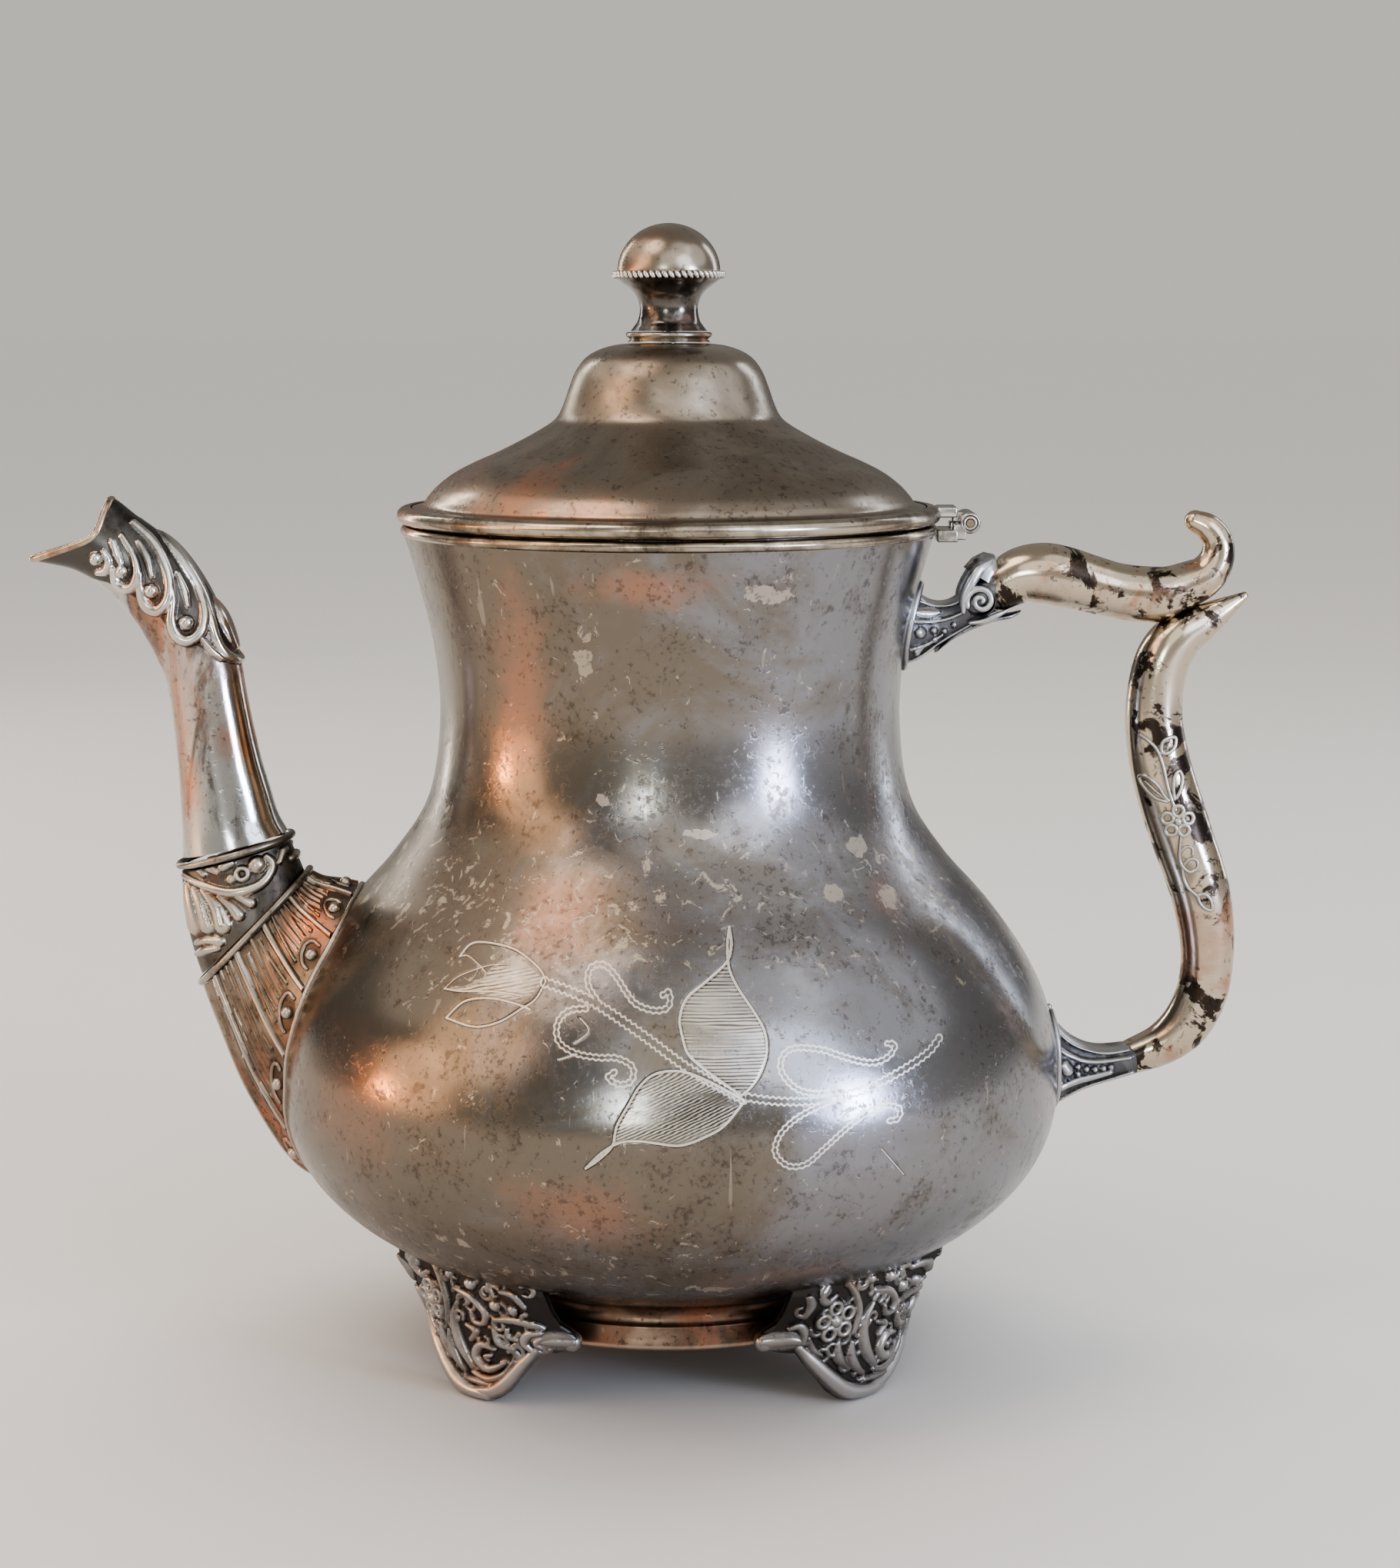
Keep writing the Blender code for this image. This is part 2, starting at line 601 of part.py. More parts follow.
pin_bore = add_cutter("pin_bore", cross_bar(HINGE_X, HINGE_Z, PIN_RADIUS + PIN_CLEARANCE, -12, 12))
joined("hinge_lid_leaf",
       [block((56.6, -4.6, 176.3), (LEAF_REACH, 4.6, 178.6)),
        block((LEAF_REACH - 1, -INNER_KNUCKLE + 0.1, 175.1), (HINGE_X, INNER_KNUCKLE - 0.1, 177.3)),
        cross_bar(HINGE_X, HINGE_Z, KNUCKLE_RADIUS, -INNER_KNUCKLE, INNER_KNUCKLE)],
       pin_bore, SILVER, on_lid=True)
body_leaf = [block((56.0, -OUTER_KNUCKLE, 171.3), (LEAF_REACH, OUTER_KNUCKLE, 173.6))]
for side in (-1, 1):
    low, high = sorted((side * (INNER_KNUCKLE + GAP), side * OUTER_KNUCKLE))
    body_leaf.append(block((LEAF_REACH - 1, low + 0.1, 171.7), (HINGE_X, high - 0.1, 175.1)))
    body_leaf.append(cross_bar(HINGE_X, HINGE_Z, KNUCKLE_RADIUS, low, high))
joined("hinge_body_leaf", body_leaf, pin_bore, SILVER)
add_part("hinge_pin", cross_bar(HINGE_X, HINGE_Z, PIN_RADIUS, -PIN_REACH, PIN_REACH), SILVER, 0.3)


# ---------------------------------------------------------------- finial, stacked on a threaded stud

DOME_RADIUS = 10.6
DOME_BASE = 224.5
ROPE_RADIUS = 0.65
STEM_TOP = DOME_BASE - GAP
COLLAR_TOP = 214.2


def dome_outline():
    """Quarter circle over a short straight skirt, from the top down, closed along the base."""
    centre = FINIAL_TOP - DOME_RADIUS
    arc = [(DOME_RADIUS * math.sin(a * math.pi / 20), centre + DOME_RADIUS * math.cos(a * math.pi / 20))
           for a in range(11)]
    return [*arc, (DOME_RADIUS - 0.5, DOME_BASE), (0, DOME_BASE)]


add_part("finial_dome", turned(dome_outline(), segments=24), TARNISH, 0.3, on_lid=True)
rope_distance = DOME_RADIUS + ROPE_RADIUS
rope = [(rope_distance + ROPE_RADIUS * math.sin(a * math.pi / 4),
         DOME_BASE + 0.2 + ROPE_RADIUS * math.cos(a * math.pi / 4)) for a in range(8)]
add_part("finial_rope_ring", turned(rope, closed=True, segments=24), SILVER, 0.3, on_lid=True)
STEM_OUTLINE = [(0, STEM_TOP), (9.6, STEM_TOP), (8.6, 223.4), (7.2, 222.0), (6.3, 220.4), (6.0, 218.8),
                (6.3, 217.0), (7.0, 215.6), (7.8, COLLAR_TOP + GAP)]
STUD_HOLE = STUD_RADIUS + 0.3
STUD_TOP = 221.6
add_part("finial_stem", turned([*STEM_OUTLINE, (STUD_HOLE, COLLAR_TOP + GAP), (STUD_HOLE, STUD_TOP + GAP),
                                (0, STUD_TOP + GAP)], segments=24), PEWTER, 0.3, on_lid=True)
add_part("finial_collar", turned([(STUD_HOLE, COLLAR_TOP), (8.5, COLLAR_TOP), (8.9, 213.7),
                                  (8.5, 213.2), (8.2, LID_CROWN + GAP), (STUD_HOLE, LID_CROWN + GAP)],
                                 closed=True, segments=24), PEWTER, 0.3, on_lid=True)
WASHER_RADIUS = 4.5
WASHER_THICKNESS = 0.8
NUT_RADIUS = 3.2
NUT_HEIGHT = 2.4
THREAD_END = 1.2               # how far the stud stands out below its nut
washer_top = LID_CROWN - LID_WALL - GAP
nut_top = washer_top - WASHER_THICKNESS - GAP
nut_bottom = nut_top - NUT_HEIGHT
add_part("finial_washer", turned([(STUD_HOLE, washer_top), (WASHER_RADIUS, washer_top),
                                  (WASHER_RADIUS, washer_top - WASHER_THICKNESS),
                                  (STUD_HOLE, washer_top - WASHER_THICKNESS)], closed=True, segments=24),
         SILVER, 0.4, on_lid=True)
finial_nut = add_part("finial_nut", upright_bar(NUT_RADIUS, nut_bottom, nut_top, sides=6), SILVER, 0.4,
                      on_lid=True)
boolean(finial_nut, add_cutter("nut_thread", upright_bar(STUD_HOLE, nut_bottom - 5, nut_top + 5)))
add_part("finial_stud", upright_bar(STUD_RADIUS, nut_bottom - THREAD_END, STUD_TOP), SILVER, 0.4,
         on_lid=True)
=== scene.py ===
"""Looks of a pear-shaped silver-plated teapot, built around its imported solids.

Lengths are in millimetres about the pot's turning axis: x towards the handle, y towards the back, z up.
MM and AXIS_X turn them into the frame's metres.
"""
import math

import bmesh
import bpy
import numpy as np
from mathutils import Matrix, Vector


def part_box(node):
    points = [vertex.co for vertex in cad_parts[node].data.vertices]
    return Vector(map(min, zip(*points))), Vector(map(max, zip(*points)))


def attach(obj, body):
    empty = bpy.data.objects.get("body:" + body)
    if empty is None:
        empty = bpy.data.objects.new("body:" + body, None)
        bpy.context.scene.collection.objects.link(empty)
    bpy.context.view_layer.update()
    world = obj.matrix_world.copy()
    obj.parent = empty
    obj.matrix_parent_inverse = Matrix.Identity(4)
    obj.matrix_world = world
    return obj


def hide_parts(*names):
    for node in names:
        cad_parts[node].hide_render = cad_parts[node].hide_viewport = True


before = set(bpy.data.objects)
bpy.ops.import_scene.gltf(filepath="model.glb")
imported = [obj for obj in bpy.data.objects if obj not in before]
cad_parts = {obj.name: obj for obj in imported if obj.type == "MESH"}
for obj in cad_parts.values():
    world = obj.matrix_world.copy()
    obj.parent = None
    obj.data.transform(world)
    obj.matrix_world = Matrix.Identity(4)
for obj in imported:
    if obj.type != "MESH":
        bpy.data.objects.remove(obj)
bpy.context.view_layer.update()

MM = 0.001
body_low, body_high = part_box("body_shell")
lid_low, lid_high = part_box("lid_shell")
AXIS_X = (lid_low.x + lid_high.x) / 2 / MM
BULB_RADIUS = (body_high.y - body_low.y) / 2 / MM
BODY_TOP = body_high.z / MM
LID_CROWN = lid_high.z / MM
FINIAL_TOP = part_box("finial_dome")[1].z / MM
WALL = 1.2
SPOUT_WALL = 1.3


# ---------------------------------------------------------------- curves and grids

def smooth(points, steps=8):
    """Catmull-Rom curve through key points of any dimension, as an array."""
    keys = np.asarray(points, float)
    if len(keys) < 3:
        return keys
    keys = np.vstack([keys[:1], keys, keys[-1:]])
    t = np.arange(steps)[:, None] / steps
    spans = [0.5 * (2 * b + (c - a) * t + (2 * a - 5 * b + 4 * c - d) * t ** 2
                    + (3 * b - a - 3 * c + d) * t ** 3)
             for a, b, c, d in zip(keys, keys[1:], keys[2:], keys[3:])]
    return np.vstack([*spans, keys[-1]])


def full_turn(count):
    """Angles at even steps round a full turn."""
    return np.arange(count) * 2 * math.pi / count


def turned(outline, segments=192):
    """Grid of points of an outline of (radius, height) turned about the pot axis."""
    angle = full_turn(segments)
    radius, height = np.asarray(outline, float).T
    return np.stack([np.outer(radius, np.cos(angle)), np.outer(radius, np.sin(angle)),
                     np.repeat(height[:, None], segments, axis=1)], axis=-1)


def sweep(path, radius, reference=(0, 1, 0), sides=20, closed=False):
    """Grid of points of a round bar along a path, whose rings start on the side of a reference direction."""
    path = np.asarray(path, float)
    if closed:
        tangent = np.roll(path, -1, axis=0) - np.roll(path, 1, axis=0)
    else:
        tangent = np.gradient(path, axis=0)
    tangent /= np.linalg.norm(tangent, axis=1, keepdims=True)
    reference = np.asarray(reference, float)
    side = reference - (tangent @ reference)[:, None] * tangent
    side /= np.linalg.norm(side, axis=1, keepdims=True)
    lift = np.cross(tangent, side)
    angle = full_turn(sides)[None, :, None]
    ring = np.cos(angle) * side[:, None] + np.sin(angle) * lift[:, None]
    radius = np.broadcast_to(radius, len(path))
    return path[:, None] + radius[:, None, None] * ring


def rounded(path, radius):
    """A path and its radii with a half ball added at each end."""
    path = np.asarray(path, float)
    radius = np.broadcast_to(np.asarray(radius, float), len(path))
    quarter = np.linspace(0, math.pi / 2, 6)[1:]
    for end, inner in ((0, 1), (-1, -2)):
        direction = path[end] - path[inner]
        direction /= np.linalg.norm(direction)
        points = path[end] + radius[end] * np.outer(np.sin(quarter), direction)
        radii = radius[end] * np.cos(quarter)
        if end == 0:
            path, radius = np.vstack([points[::-1], path]), np.concatenate([radii[::-1], radius])
        else:
            path, radius = np.vstack([path, points]), np.concatenate([radius, radii])
    return path, radius


def ball(centre, radius, rows=8, columns=14):
    """Grid of points of a ball."""
    polar = np.linspace(0, math.pi, rows + 1)[:, None]
    angle = full_turn(columns)
    return np.asarray(centre, float) + radius * np.stack(
        [np.sin(polar) * np.cos(angle), np.sin(polar) * np.sin(angle), np.cos(polar) + 0 * angle], axis=-1)


def grid_normals(grid):
    """Unit normals of a grid whose columns close round."""
    across = np.roll(grid, -1, axis=1) - np.roll(grid, 1, axis=1)
    normal = np.cross(np.gradient(grid, axis=0), across)
    return normal / np.maximum(np.linalg.norm(normal, axis=-1, keepdims=True), 1e-9)


def grid_faces(rows, columns, wrap_rows, wrap_columns):
    """Quads between the points of a grid."""
    index = np.arange(rows * columns).reshape(rows, columns)
    if wrap_rows:
        index = np.vstack([index, index[:1]])
    if wrap_columns:
        index = np.hstack([index, index[:, :1]])
    return np.stack([index[:-1, :-1], index[1:, :-1], index[1:, 1:], index[:-1, 1:]], axis=-1).reshape(-1, 4)


def carve(across, up, strokes):
    """Height and relief at points of a plane, from raised and cut strokes.

    A stroke is (height, [(across, up, half width), ...]), with a negative height where it is cut in. The
    relief is 1 on top of a raised stroke and -1 at the bottom of a cut one.
    """
    raised = np.zeros(across.shape)
    sunk = np.zeros(across.shape)
    for height, keys in strokes:
        keys = smooth(keys, 6)
        if len(keys) == 1:
            keys = np.repeat(keys, 2, axis=0)
        reach = keys[:, 2].max()
        low, high = keys.min(axis=0) - reach, keys.max(axis=0) + reach
        near = (across > low[0]) & (across < high[0]) & (up > low[1]) & (up < high[1])
        a, b = across[near], up[near]
        best = np.zeros(a.shape)
        for start, end in zip(keys, keys[1:]):
            step = end - start
            length = max(step[0] ** 2 + step[1] ** 2, 1e-9)
            share = np.clip(((a - start[0]) * step[0] + (b - start[1]) * step[1]) / length, 0, 1)
            width = np.maximum(start[2] + share * step[2], 1e-3)
            distance = np.hypot(a - start[0] - share * step[0], b - start[1] - share * step[1]) / width
            bump = np.clip(1 - distance ** 2, 0, 1) ** 0.7 * (width / reach) ** 0.5
            best = np.maximum(best, bump)
        target = raised if height > 0 else sunk
        target[near] = np.maximum(target[near], abs(height) * best)
    return raised, sunk


def widened(strokes, share):
    """Strokes with their widths multiplied."""
    return [(height, [(a, b, width * share) for a, b, width in keys]) for height, keys in strokes]


def circle(across, up, radius, half_width, points=14):
    """Key points of a ring stroke."""
    turn = np.linspace(0, 2 * math.pi, points)
    return [(across + radius * math.cos(a), up + radius * math.sin(a), half_width) for a in turn]


def spiral(across, up, outer, inner, start, turns, wide, narrow, points=16):
    """Key points of a scroll that winds inwards from a start angle in degrees.

    Negative turns wind clockwise.
    """
    keys = []
    for share in np.linspace(0, 1, points):
        angle = math.radians(start) + share * turns * 2 * math.pi
        reach = outer + (inner - outer) * share
        keys.append((across + reach * math.cos(angle), up + reach * math.sin(angle),
                     wide + (narrow - wide) * share))
    return keys


def store(mesh, label, values):
    """Keep one value for each point of a mesh, for its material to read."""
    mesh.attributes.new(label, "FLOAT", "POINT").data.foreach_set("value", values)


class Shape:
    """The points and quads of one piece, put together from grids."""

    def __init__(self):
        self.points, self.faces, self.relief, self.count = [], [], [], 0

    def add(self, grid, wrap_rows=False, wrap_columns=True, relief=0.0):
        """Add a grid of points and the quads between them."""
        rows, columns = grid.shape[:2]
        self.points.append(grid.reshape(-1, 3))
        self.faces.append(grid_faces(rows, columns, wrap_rows, wrap_columns) + self.count)
        self.relief.append(np.broadcast_to(relief, (rows, columns)).ravel())
        self.count += rows * columns
        return self

    def bar(self, path, radius, reference=(0, 1, 0), sides=12, relief=0.6):
        """Add a round bar with half-ball ends."""
        return self.add(sweep(*rounded(path, radius), reference, sides), relief=relief)

    def make(self, name, material, slot, body="pot", stands_for=None, sharp=50):
        """Turn the grids into a shown piece that rides on a body and stands for a CAD node."""
        points = (np.vstack(self.points) + (AXIS_X, 0, 0)) * MM
        mesh = bpy.data.meshes.new(name)
        mesh.from_pydata(points.tolist(), [], np.vstack(self.faces).tolist())
        store(mesh, "relief", np.concatenate(self.relief))
        return finish_piece(mesh, name, material, body, stands_for, sharp)


def finish_piece(mesh, name, material, body, stands_for, sharp):
    """Clean a mesh and show it as a piece."""
    builder = bmesh.new()
    builder.from_mesh(mesh)
    bmesh.ops.remove_doubles(builder, verts=builder.verts, dist=0.000002)
    bmesh.ops.recalc_face_normals(builder, faces=builder.faces)
    builder.to_mesh(mesh)
    builder.free()
    mesh.shade_smooth()
    mesh.set_sharp_from_angle(angle=math.radians(sharp))
    mesh.materials.append(material)
    piece = bpy.data.objects.new(name, mesh)
    bpy.context.scene.collection.objects.link(piece)
    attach(piece, body)
    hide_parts(stands_for or name.removesuffix("_fine"))
    return piece


# ---------------------------------------------------------------- materials

def add_node(tree, kind, inputs=None, **settings):
    """A shader node with its settings, and its inputs set or linked."""
    made = tree.nodes.new(kind)
    for key, value in settings.items():
        setattr(made, key, value)
    for key, value in (inputs or {}).items():
        if isinstance(value, bpy.types.NodeSocket):
            tree.links.new(value, made.inputs[key])
        else:
            made.inputs[key].default_value = value
    return made


def ramp(tree, value, low, high):
    """A smooth 0 to 1 step of a value between two levels."""
    return add_node(tree, "ShaderNodeMapRange", {"Value": value, "From Min": low, "From Max": high},
                    interpolation_type="SMOOTHSTEP").outputs["Result"]


def noise(tree, place, scale, detail=4.0, roughness=0.6, distortion=0.0):
    """Noise between 0 and 1, at a scale in features per metre."""
    return add_node(tree, "ShaderNodeTexNoise", {"Vector": place, "Scale": scale, "Detail": detail,
                                                 "Roughness": roughness, "Distortion": distortion}
                    ).outputs["Fac"]


def math_node(tree, operation, first, second=0.0):
    """Arithmetic on one or two values."""
    return add_node(tree, "ShaderNodeMath", {0: first, 1: second}, operation=operation).outputs[0]


def plus(tree, first, second):
    """One value added to another."""
    return math_node(tree, "ADD", first, second)


def minus(tree, first, second):
    """One value taken from another."""
    return math_node(tree, "SUBTRACT", first, second)


def times(tree, first, second):
    """One value multiplied by another."""
    return math_node(tree, "MULTIPLY", first, second)


def larger(tree, first, second):
    """The larger of two values."""
    return math_node(tree, "MAXIMUM", first, second)


def read_attribute(tree, label):
    """A value stored on the mesh's points."""
    return add_node(tree, "ShaderNodeAttribute", attribute_name=label).outputs["Fac"]


def mix(tree, share, first, second):
    """Mix of two colours."""
    made = tree.nodes.new("ShaderNodeMix")
    made.data_type = "RGBA"
    sockets = [s for s in made.inputs if s.enabled]
    for socket, value in zip(sockets, (share, first, second)):
        if isinstance(value, bpy.types.NodeSocket):
            tree.links.new(value, socket)
        elif isinstance(value, float):
            socket.default_value = value
        else:
            socket.default_value = (*value, 1)
    return next(s for s in made.outputs if s.enabled)


def shifted(tree, place, move, scale=(1, 1, 1), turn=(0, 0, 0)):
    """Coordinates moved, stretched and turned, for another pattern from the same noise."""
    return add_node(tree, "ShaderNodeMapping", {"Vector": place, "Location": move, "Scale": scale,
                                                "Rotation": turn}).outputs["Vector"]


def patch_at(tree, place, centre, reach, ragged, scale):
    """Level of a ragged patch about a point in millimetres: above 0 inside it and highest in the middle."""
    middle = [(centre[0] + AXIS_X) * MM, centre[1] * MM, centre[2] * MM]
    away = add_node(tree, "ShaderNodeVectorMath", {0: place, 1: middle}, operation="SUBTRACT").outputs[0]
    size = [1 / (part * MM) for part in reach]
    away = add_node(tree, "ShaderNodeVectorMath", {0: away, 1: size}, operation="MULTIPLY").outputs[0]
    far = add_node(tree, "ShaderNodeVectorMath", {0: away}, operation="LENGTH").outputs["Value"]
    rough = times(tree, noise(tree, place, scale, 6.0, 0.65), ragged * 2)
    return minus(tree, 1 + ragged, plus(tree, far, rough))


def start_metal(name):
    """A bare metal material, with its tree, its shader, a place on the object and the relief."""
    material = bpy.data.materials.new(name)
    material.use_nodes = True
    tree = material.node_tree
    shader = tree.nodes["Principled BSDF"]
    shader.inputs["Metallic"].default_value = 1.0
    place = add_node(tree, "ShaderNodeTexCoord").outputs["Object"]
    return material, tree, shader, place, read_attribute(tree, "relief")


def finish_metal(tree, shader, colour, rough, height, strength):
    """Join a colour, a roughness and fine bumps to the shader."""
    tree.links.new(colour, shader.inputs["Base Color"])
    tree.links.new(rough, shader.inputs["Roughness"])
    bump = add_node(tree, "ShaderNodeBump", {"Height": height, "Strength": strength, "Distance": 0.0004})
    tree.links.new(bump.outputs["Normal"], shader.inputs["Normal"])


def aged_metal(name, bright, dull, copper, dark, patch=45.0, patch_level=0.5, patch_edge=0.12,
               copper_level=0.6, speckle=0.5, roughness=(0.22, 0.42), streak=(1, 1, 1), lean=0.0, shine=None):
    """Silver plate that has tarnished in patches and worn to copper in places, with painted shade darkening
    its recesses.

    Patches are in features per metre. Lean moves the copper towards the spout, as worn copper and as painted
    reflection of the warm lamp there. Shine is the colour of the rubbed high edges.
    """
    material, tree, shader, place, relief = start_metal(name)
    shine = shine or bright
    stretched = shifted(tree, place, (0, 0, 0), streak)
    parts = add_node(tree, "ShaderNodeSeparateXYZ", {"Vector": place})
    cloud = noise(tree, stretched, patch, 9.0, 0.64, 0.6)
    dullness = ramp(tree, cloud, patch_level - patch_edge, patch_level + patch_edge)
    colour = mix(tree, dullness, bright, dull)
    rose = noise(tree, shifted(tree, place, (3.1, 1.7, 0.4), streak), patch * 0.6, 7.0, 0.62, 0.8)
    # more copper towards the spout: worn copper, and painted reflection of the warm lamp on that side
    rose = plus(tree, rose, times(tree, parts.outputs["X"], -lean))
    colour = mix(tree, ramp(tree, rose, copper_level - 0.08, copper_level + 0.1), colour, copper)
    grit = noise(tree, place, 620.0, 3.0, 0.7)
    pits = ramp(tree, plus(tree, grit, times(tree, cloud, 0.35)), 0.74, 0.86)
    colour = mix(tree, times(tree, pits, speckle), colour, dark)
    flecks = ramp(tree, noise(tree, place, 340.0, 4.0, 0.75, 0.6), 0.66, 0.74)
    colour = mix(tree, times(tree, flecks, speckle * 0.6), colour, shine)
    # painted shade: the colour darkens wherever the relief is below 0, in recesses, grounds and hollows
    hollow = times(tree, ramp(tree, relief, 0.0, -0.5), 0.95)
    ridge = ramp(tree, relief, 0.35, 1.0)
    colour = mix(tree, times(tree, ridge, 0.7), colour, shine)
    colour = mix(tree, hollow, colour, dark)
    worn = plus(tree, times(tree, dullness, 0.6), times(tree, grit, 0.4))
    rough = add_node(tree, "ShaderNodeMapRange", {"Value": plus(tree, worn, hollow),
                                                  "To Min": roughness[0], "To Max": roughness[1]})
    scuffs = noise(tree, shifted(tree, place, (0, 0, 0), (1.0, 1.0, 0.18), (0.5, 0.7, 0.2)), 900.0, 3.0, 0.6)
    height = plus(tree, times(tree, scuffs, 0.6), times(tree, pits, -0.8))
    finish_metal(tree, shader, colour, rough.outputs["Result"], height, 0.06)
    return material


# places on the front of the pot, as (x, y, z) and reach along each of them; copper has a strength too. The
# copper is partly worn plate and partly painted reflection of the warm lamp.
COPPER_AND_LAMP_GLOW_PLACES = [((-29, -40, 147), (7, 12, 26), 0.9), ((-4, -52, 166), (15, 12, 5), 1.0),
                 ((-21, -56, 103), (11, 14, 12), 0.75), ((-17, -79, 50), (17, 14, 9), 0.75),
                 ((-62, -48, 66), (14, 22, 18), 0.5), ((20, -64, 34), (22, 12, 4), 0.6),
                 ((-72, 0, 70), (14, 40, 26), 0.7), ((44, -44, 107), (5, 8, 7), 0.6)]
FLAKES = [((19.7, -48.4, 164.4), (6.0, 6, 1.9)), ((-16.3, -46.4, 151), (2.0, 5, 3.6)),
          ((-12.4, -47.5, 124.2), (2.0, 5, 1.6)), ((6.4, -50.2, 117.9), (3.4, 5, 1.0)),
          ((37.7, -37, 113.3), (2.4, 5, 2.2)), ((32, -48.3, 106), (2.8, 5, 2.0)),
          ((8.6, -62.9, 32.0), (6.4, 8, 1.9)), ((44, -42, 104), (2.4, 5, 2.6))]


# length of one zigzag of the graver in millimetres, and distance between shading strokes in metres
ZIGZAG_STEP = 1.15
STROKE_SPACING = 0.00062


def tarnished_body():
    """The bulb's finish: steel grey on the handle side and olive towards the spout, partly the painted tint
    of the cool window and the warm lamp; olive brown crust on the shoulder; rose copper where the plate is
    thin, with painted reflection of the warm lamp;
    pale flakes where it lifts; bright fresh cuts in the engraving, with painted shade along their edges and a
    painted sheen in the leaves; and painted shade darker towards the bottom."""
    material, tree, shader, place, relief = start_metal("tarnished_body")
    steel, olive, low_shade_colour = (0.275, 0.273, 0.283), (0.204, 0.177, 0.142), (0.100, 0.080, 0.062)
    rose, fleck_colour, black = (0.40, 0.225, 0.155), (0.52, 0.46, 0.37), (0.04, 0.033, 0.028)
    crust_colour = (0.152, 0.123, 0.096)
    parts = add_node(tree, "ShaderNodeSeparateXYZ", {"Vector": place})
    x, z = parts.outputs["X"], parts.outputs["Z"]
    cloud = noise(tree, place, 24.0, 10.0, 0.66, 0.7)
    mottle = noise(tree, shifted(tree, place, (2.0, 5.0, 1.0)), 95.0, 9.0, 0.7, 0.4)
    grit = noise(tree, place, 700.0, 4.0, 0.72)

    # steel on the handle side, olive towards the spout; partly painted light: the cool window's tint on the
    # handle side and the warm lamp's on the spout side
    side = add_node(tree, "ShaderNodeMapRange", {"Value": x, "From Min": -0.045, "From Max": 0.055,
                                                 "To Min": 0.68, "To Max": 0.26}).outputs["Result"]
    olive_share = ramp(tree, plus(tree, cloud, minus(tree, side, 0.45)), 0.38, 0.62)
    colour = mix(tree, olive_share, steel, olive)

    # crust: a dark mottled band round the shoulder, thicker on the spout side, and thin elsewhere
    shoulder = patch_at(tree, place, (0, 0, 104), (400, 400, 22), 0.3, 60.0)
    lower = patch_at(tree, place, (-40, 0, 34), (90, 400, 15), 0.4, 60.0)
    band = larger(tree, larger(tree, shoulder, lower), 0.0)
    band = times(tree, band, plus(tree, side, 0.25))
    crust = ramp(tree, plus(tree, mottle, times(tree, band, 0.34)), 0.46, 0.76)
    colour = mix(tree, times(tree, crust, 0.6), colour, crust_colour)
    # painted shade: the bulb darker towards the bottom
    painted_low_shade = ramp(tree, z, 0.050, 0.022)
    colour = mix(tree, times(tree, painted_low_shade, 0.6), colour, low_shade_colour)

    # copper where the plate is worn thin, together with painted reflection of the warm lamp on the spout side
    copper_and_glow_share = 0.0
    for centre, reach, strength in COPPER_AND_LAMP_GLOW_PLACES:
        spot = ramp(tree, patch_at(tree, place, centre, reach, 0.9, 110.0), -0.2, 1.0)
        spot = times(tree, spot, 0.8 * strength)
        copper_and_glow_share = spot if isinstance(copper_and_glow_share, float) else larger(tree, copper_and_glow_share, spot)
    colour = mix(tree, copper_and_glow_share, colour, rose)

    # flakes: small pale chips thickest in the crust, and a few larger places where the plate lifts
    chips = noise(tree, shifted(tree, place, (7.0, 2.0, 4.0)), 260.0, 5.0, 0.72, 0.8)
    chip_share = ramp(tree, plus(tree, chips, times(tree, band, 0.10)), 0.635, 0.665)
    for centre, reach in FLAKES:
        lifted = ramp(tree, patch_at(tree, place, centre, reach, 1.3, 330.0), 0.16, 0.22)
        chip_share = larger(tree, chip_share, lifted)
    colour = mix(tree, times(tree, chip_share, 0.68), colour, fleck_colour)
    pits = ramp(tree, plus(tree, grit, times(tree, mottle, 0.5)), 0.80, 0.92)
    colour = mix(tree, times(tree, pits, 0.45), colour, black)

    # hairline scratches
    stretched = shifted(tree, place, (1, 1, 1), (9.0, 9.0, 0.35), (0.0, 0.6, 0.0))
    hairs = times(tree, ramp(tree, noise(tree, stretched, 42.0, 2.0, 0.5, 0.3), 0.70, 0.73), 0.35)
    colour = mix(tree, hairs, colour, fleck_colour)

    # engraving: bright-cut lines with painted shade along their edges, walked lines in zigzag, and shading
    # strokes in the leaves, over paler cut metal with a painted sheen
    shade = read_attribute(tree, "shade")
    cycle = math_node(tree, "FRACT", math_node(tree, "DIVIDE", read_attribute(tree, "along"), ZIGZAG_STEP))
    zigzag = math_node(tree, "ABSOLUTE", minus(tree, cycle, 0.5))
    zigzag = times(tree, minus(tree, zigzag, 0.25), 4.0)
    wander = times(tree, read_attribute(tree, "swing"), plus(tree, 1.0, times(tree, zigzag, 0.3)))
    aside = minus(tree, read_attribute(tree, "across"), wander)
    aside = math_node(tree, "ABSOLUTE", aside)
    steps = ramp(tree, aside, 0.24, 0.12)
    rise = times(tree, x, read_attribute(tree, "slope"))
    level = math_node(tree, "DIVIDE", plus(tree, z, rise), STROKE_SPACING)
    uneven = times(tree, noise(tree, shifted(tree, place, (0, 0, 0), (0.1, 0.1, 1)), 900.0, 2.0), 1.2)
    wave = math_node(tree, "SINE", times(tree, plus(tree, level, uneven), 6.283))
    broken = noise(tree, shifted(tree, place, (4, 4, 4), (0.35, 0.35, 2.5)), 160.0, 2.0)
    broken = ramp(tree, broken, 0.34, 0.58)
    strokes = times(tree, ramp(tree, wave, -0.1, 0.5), times(tree, broken, 0.6))
    strokes = times(tree, strokes, shade)
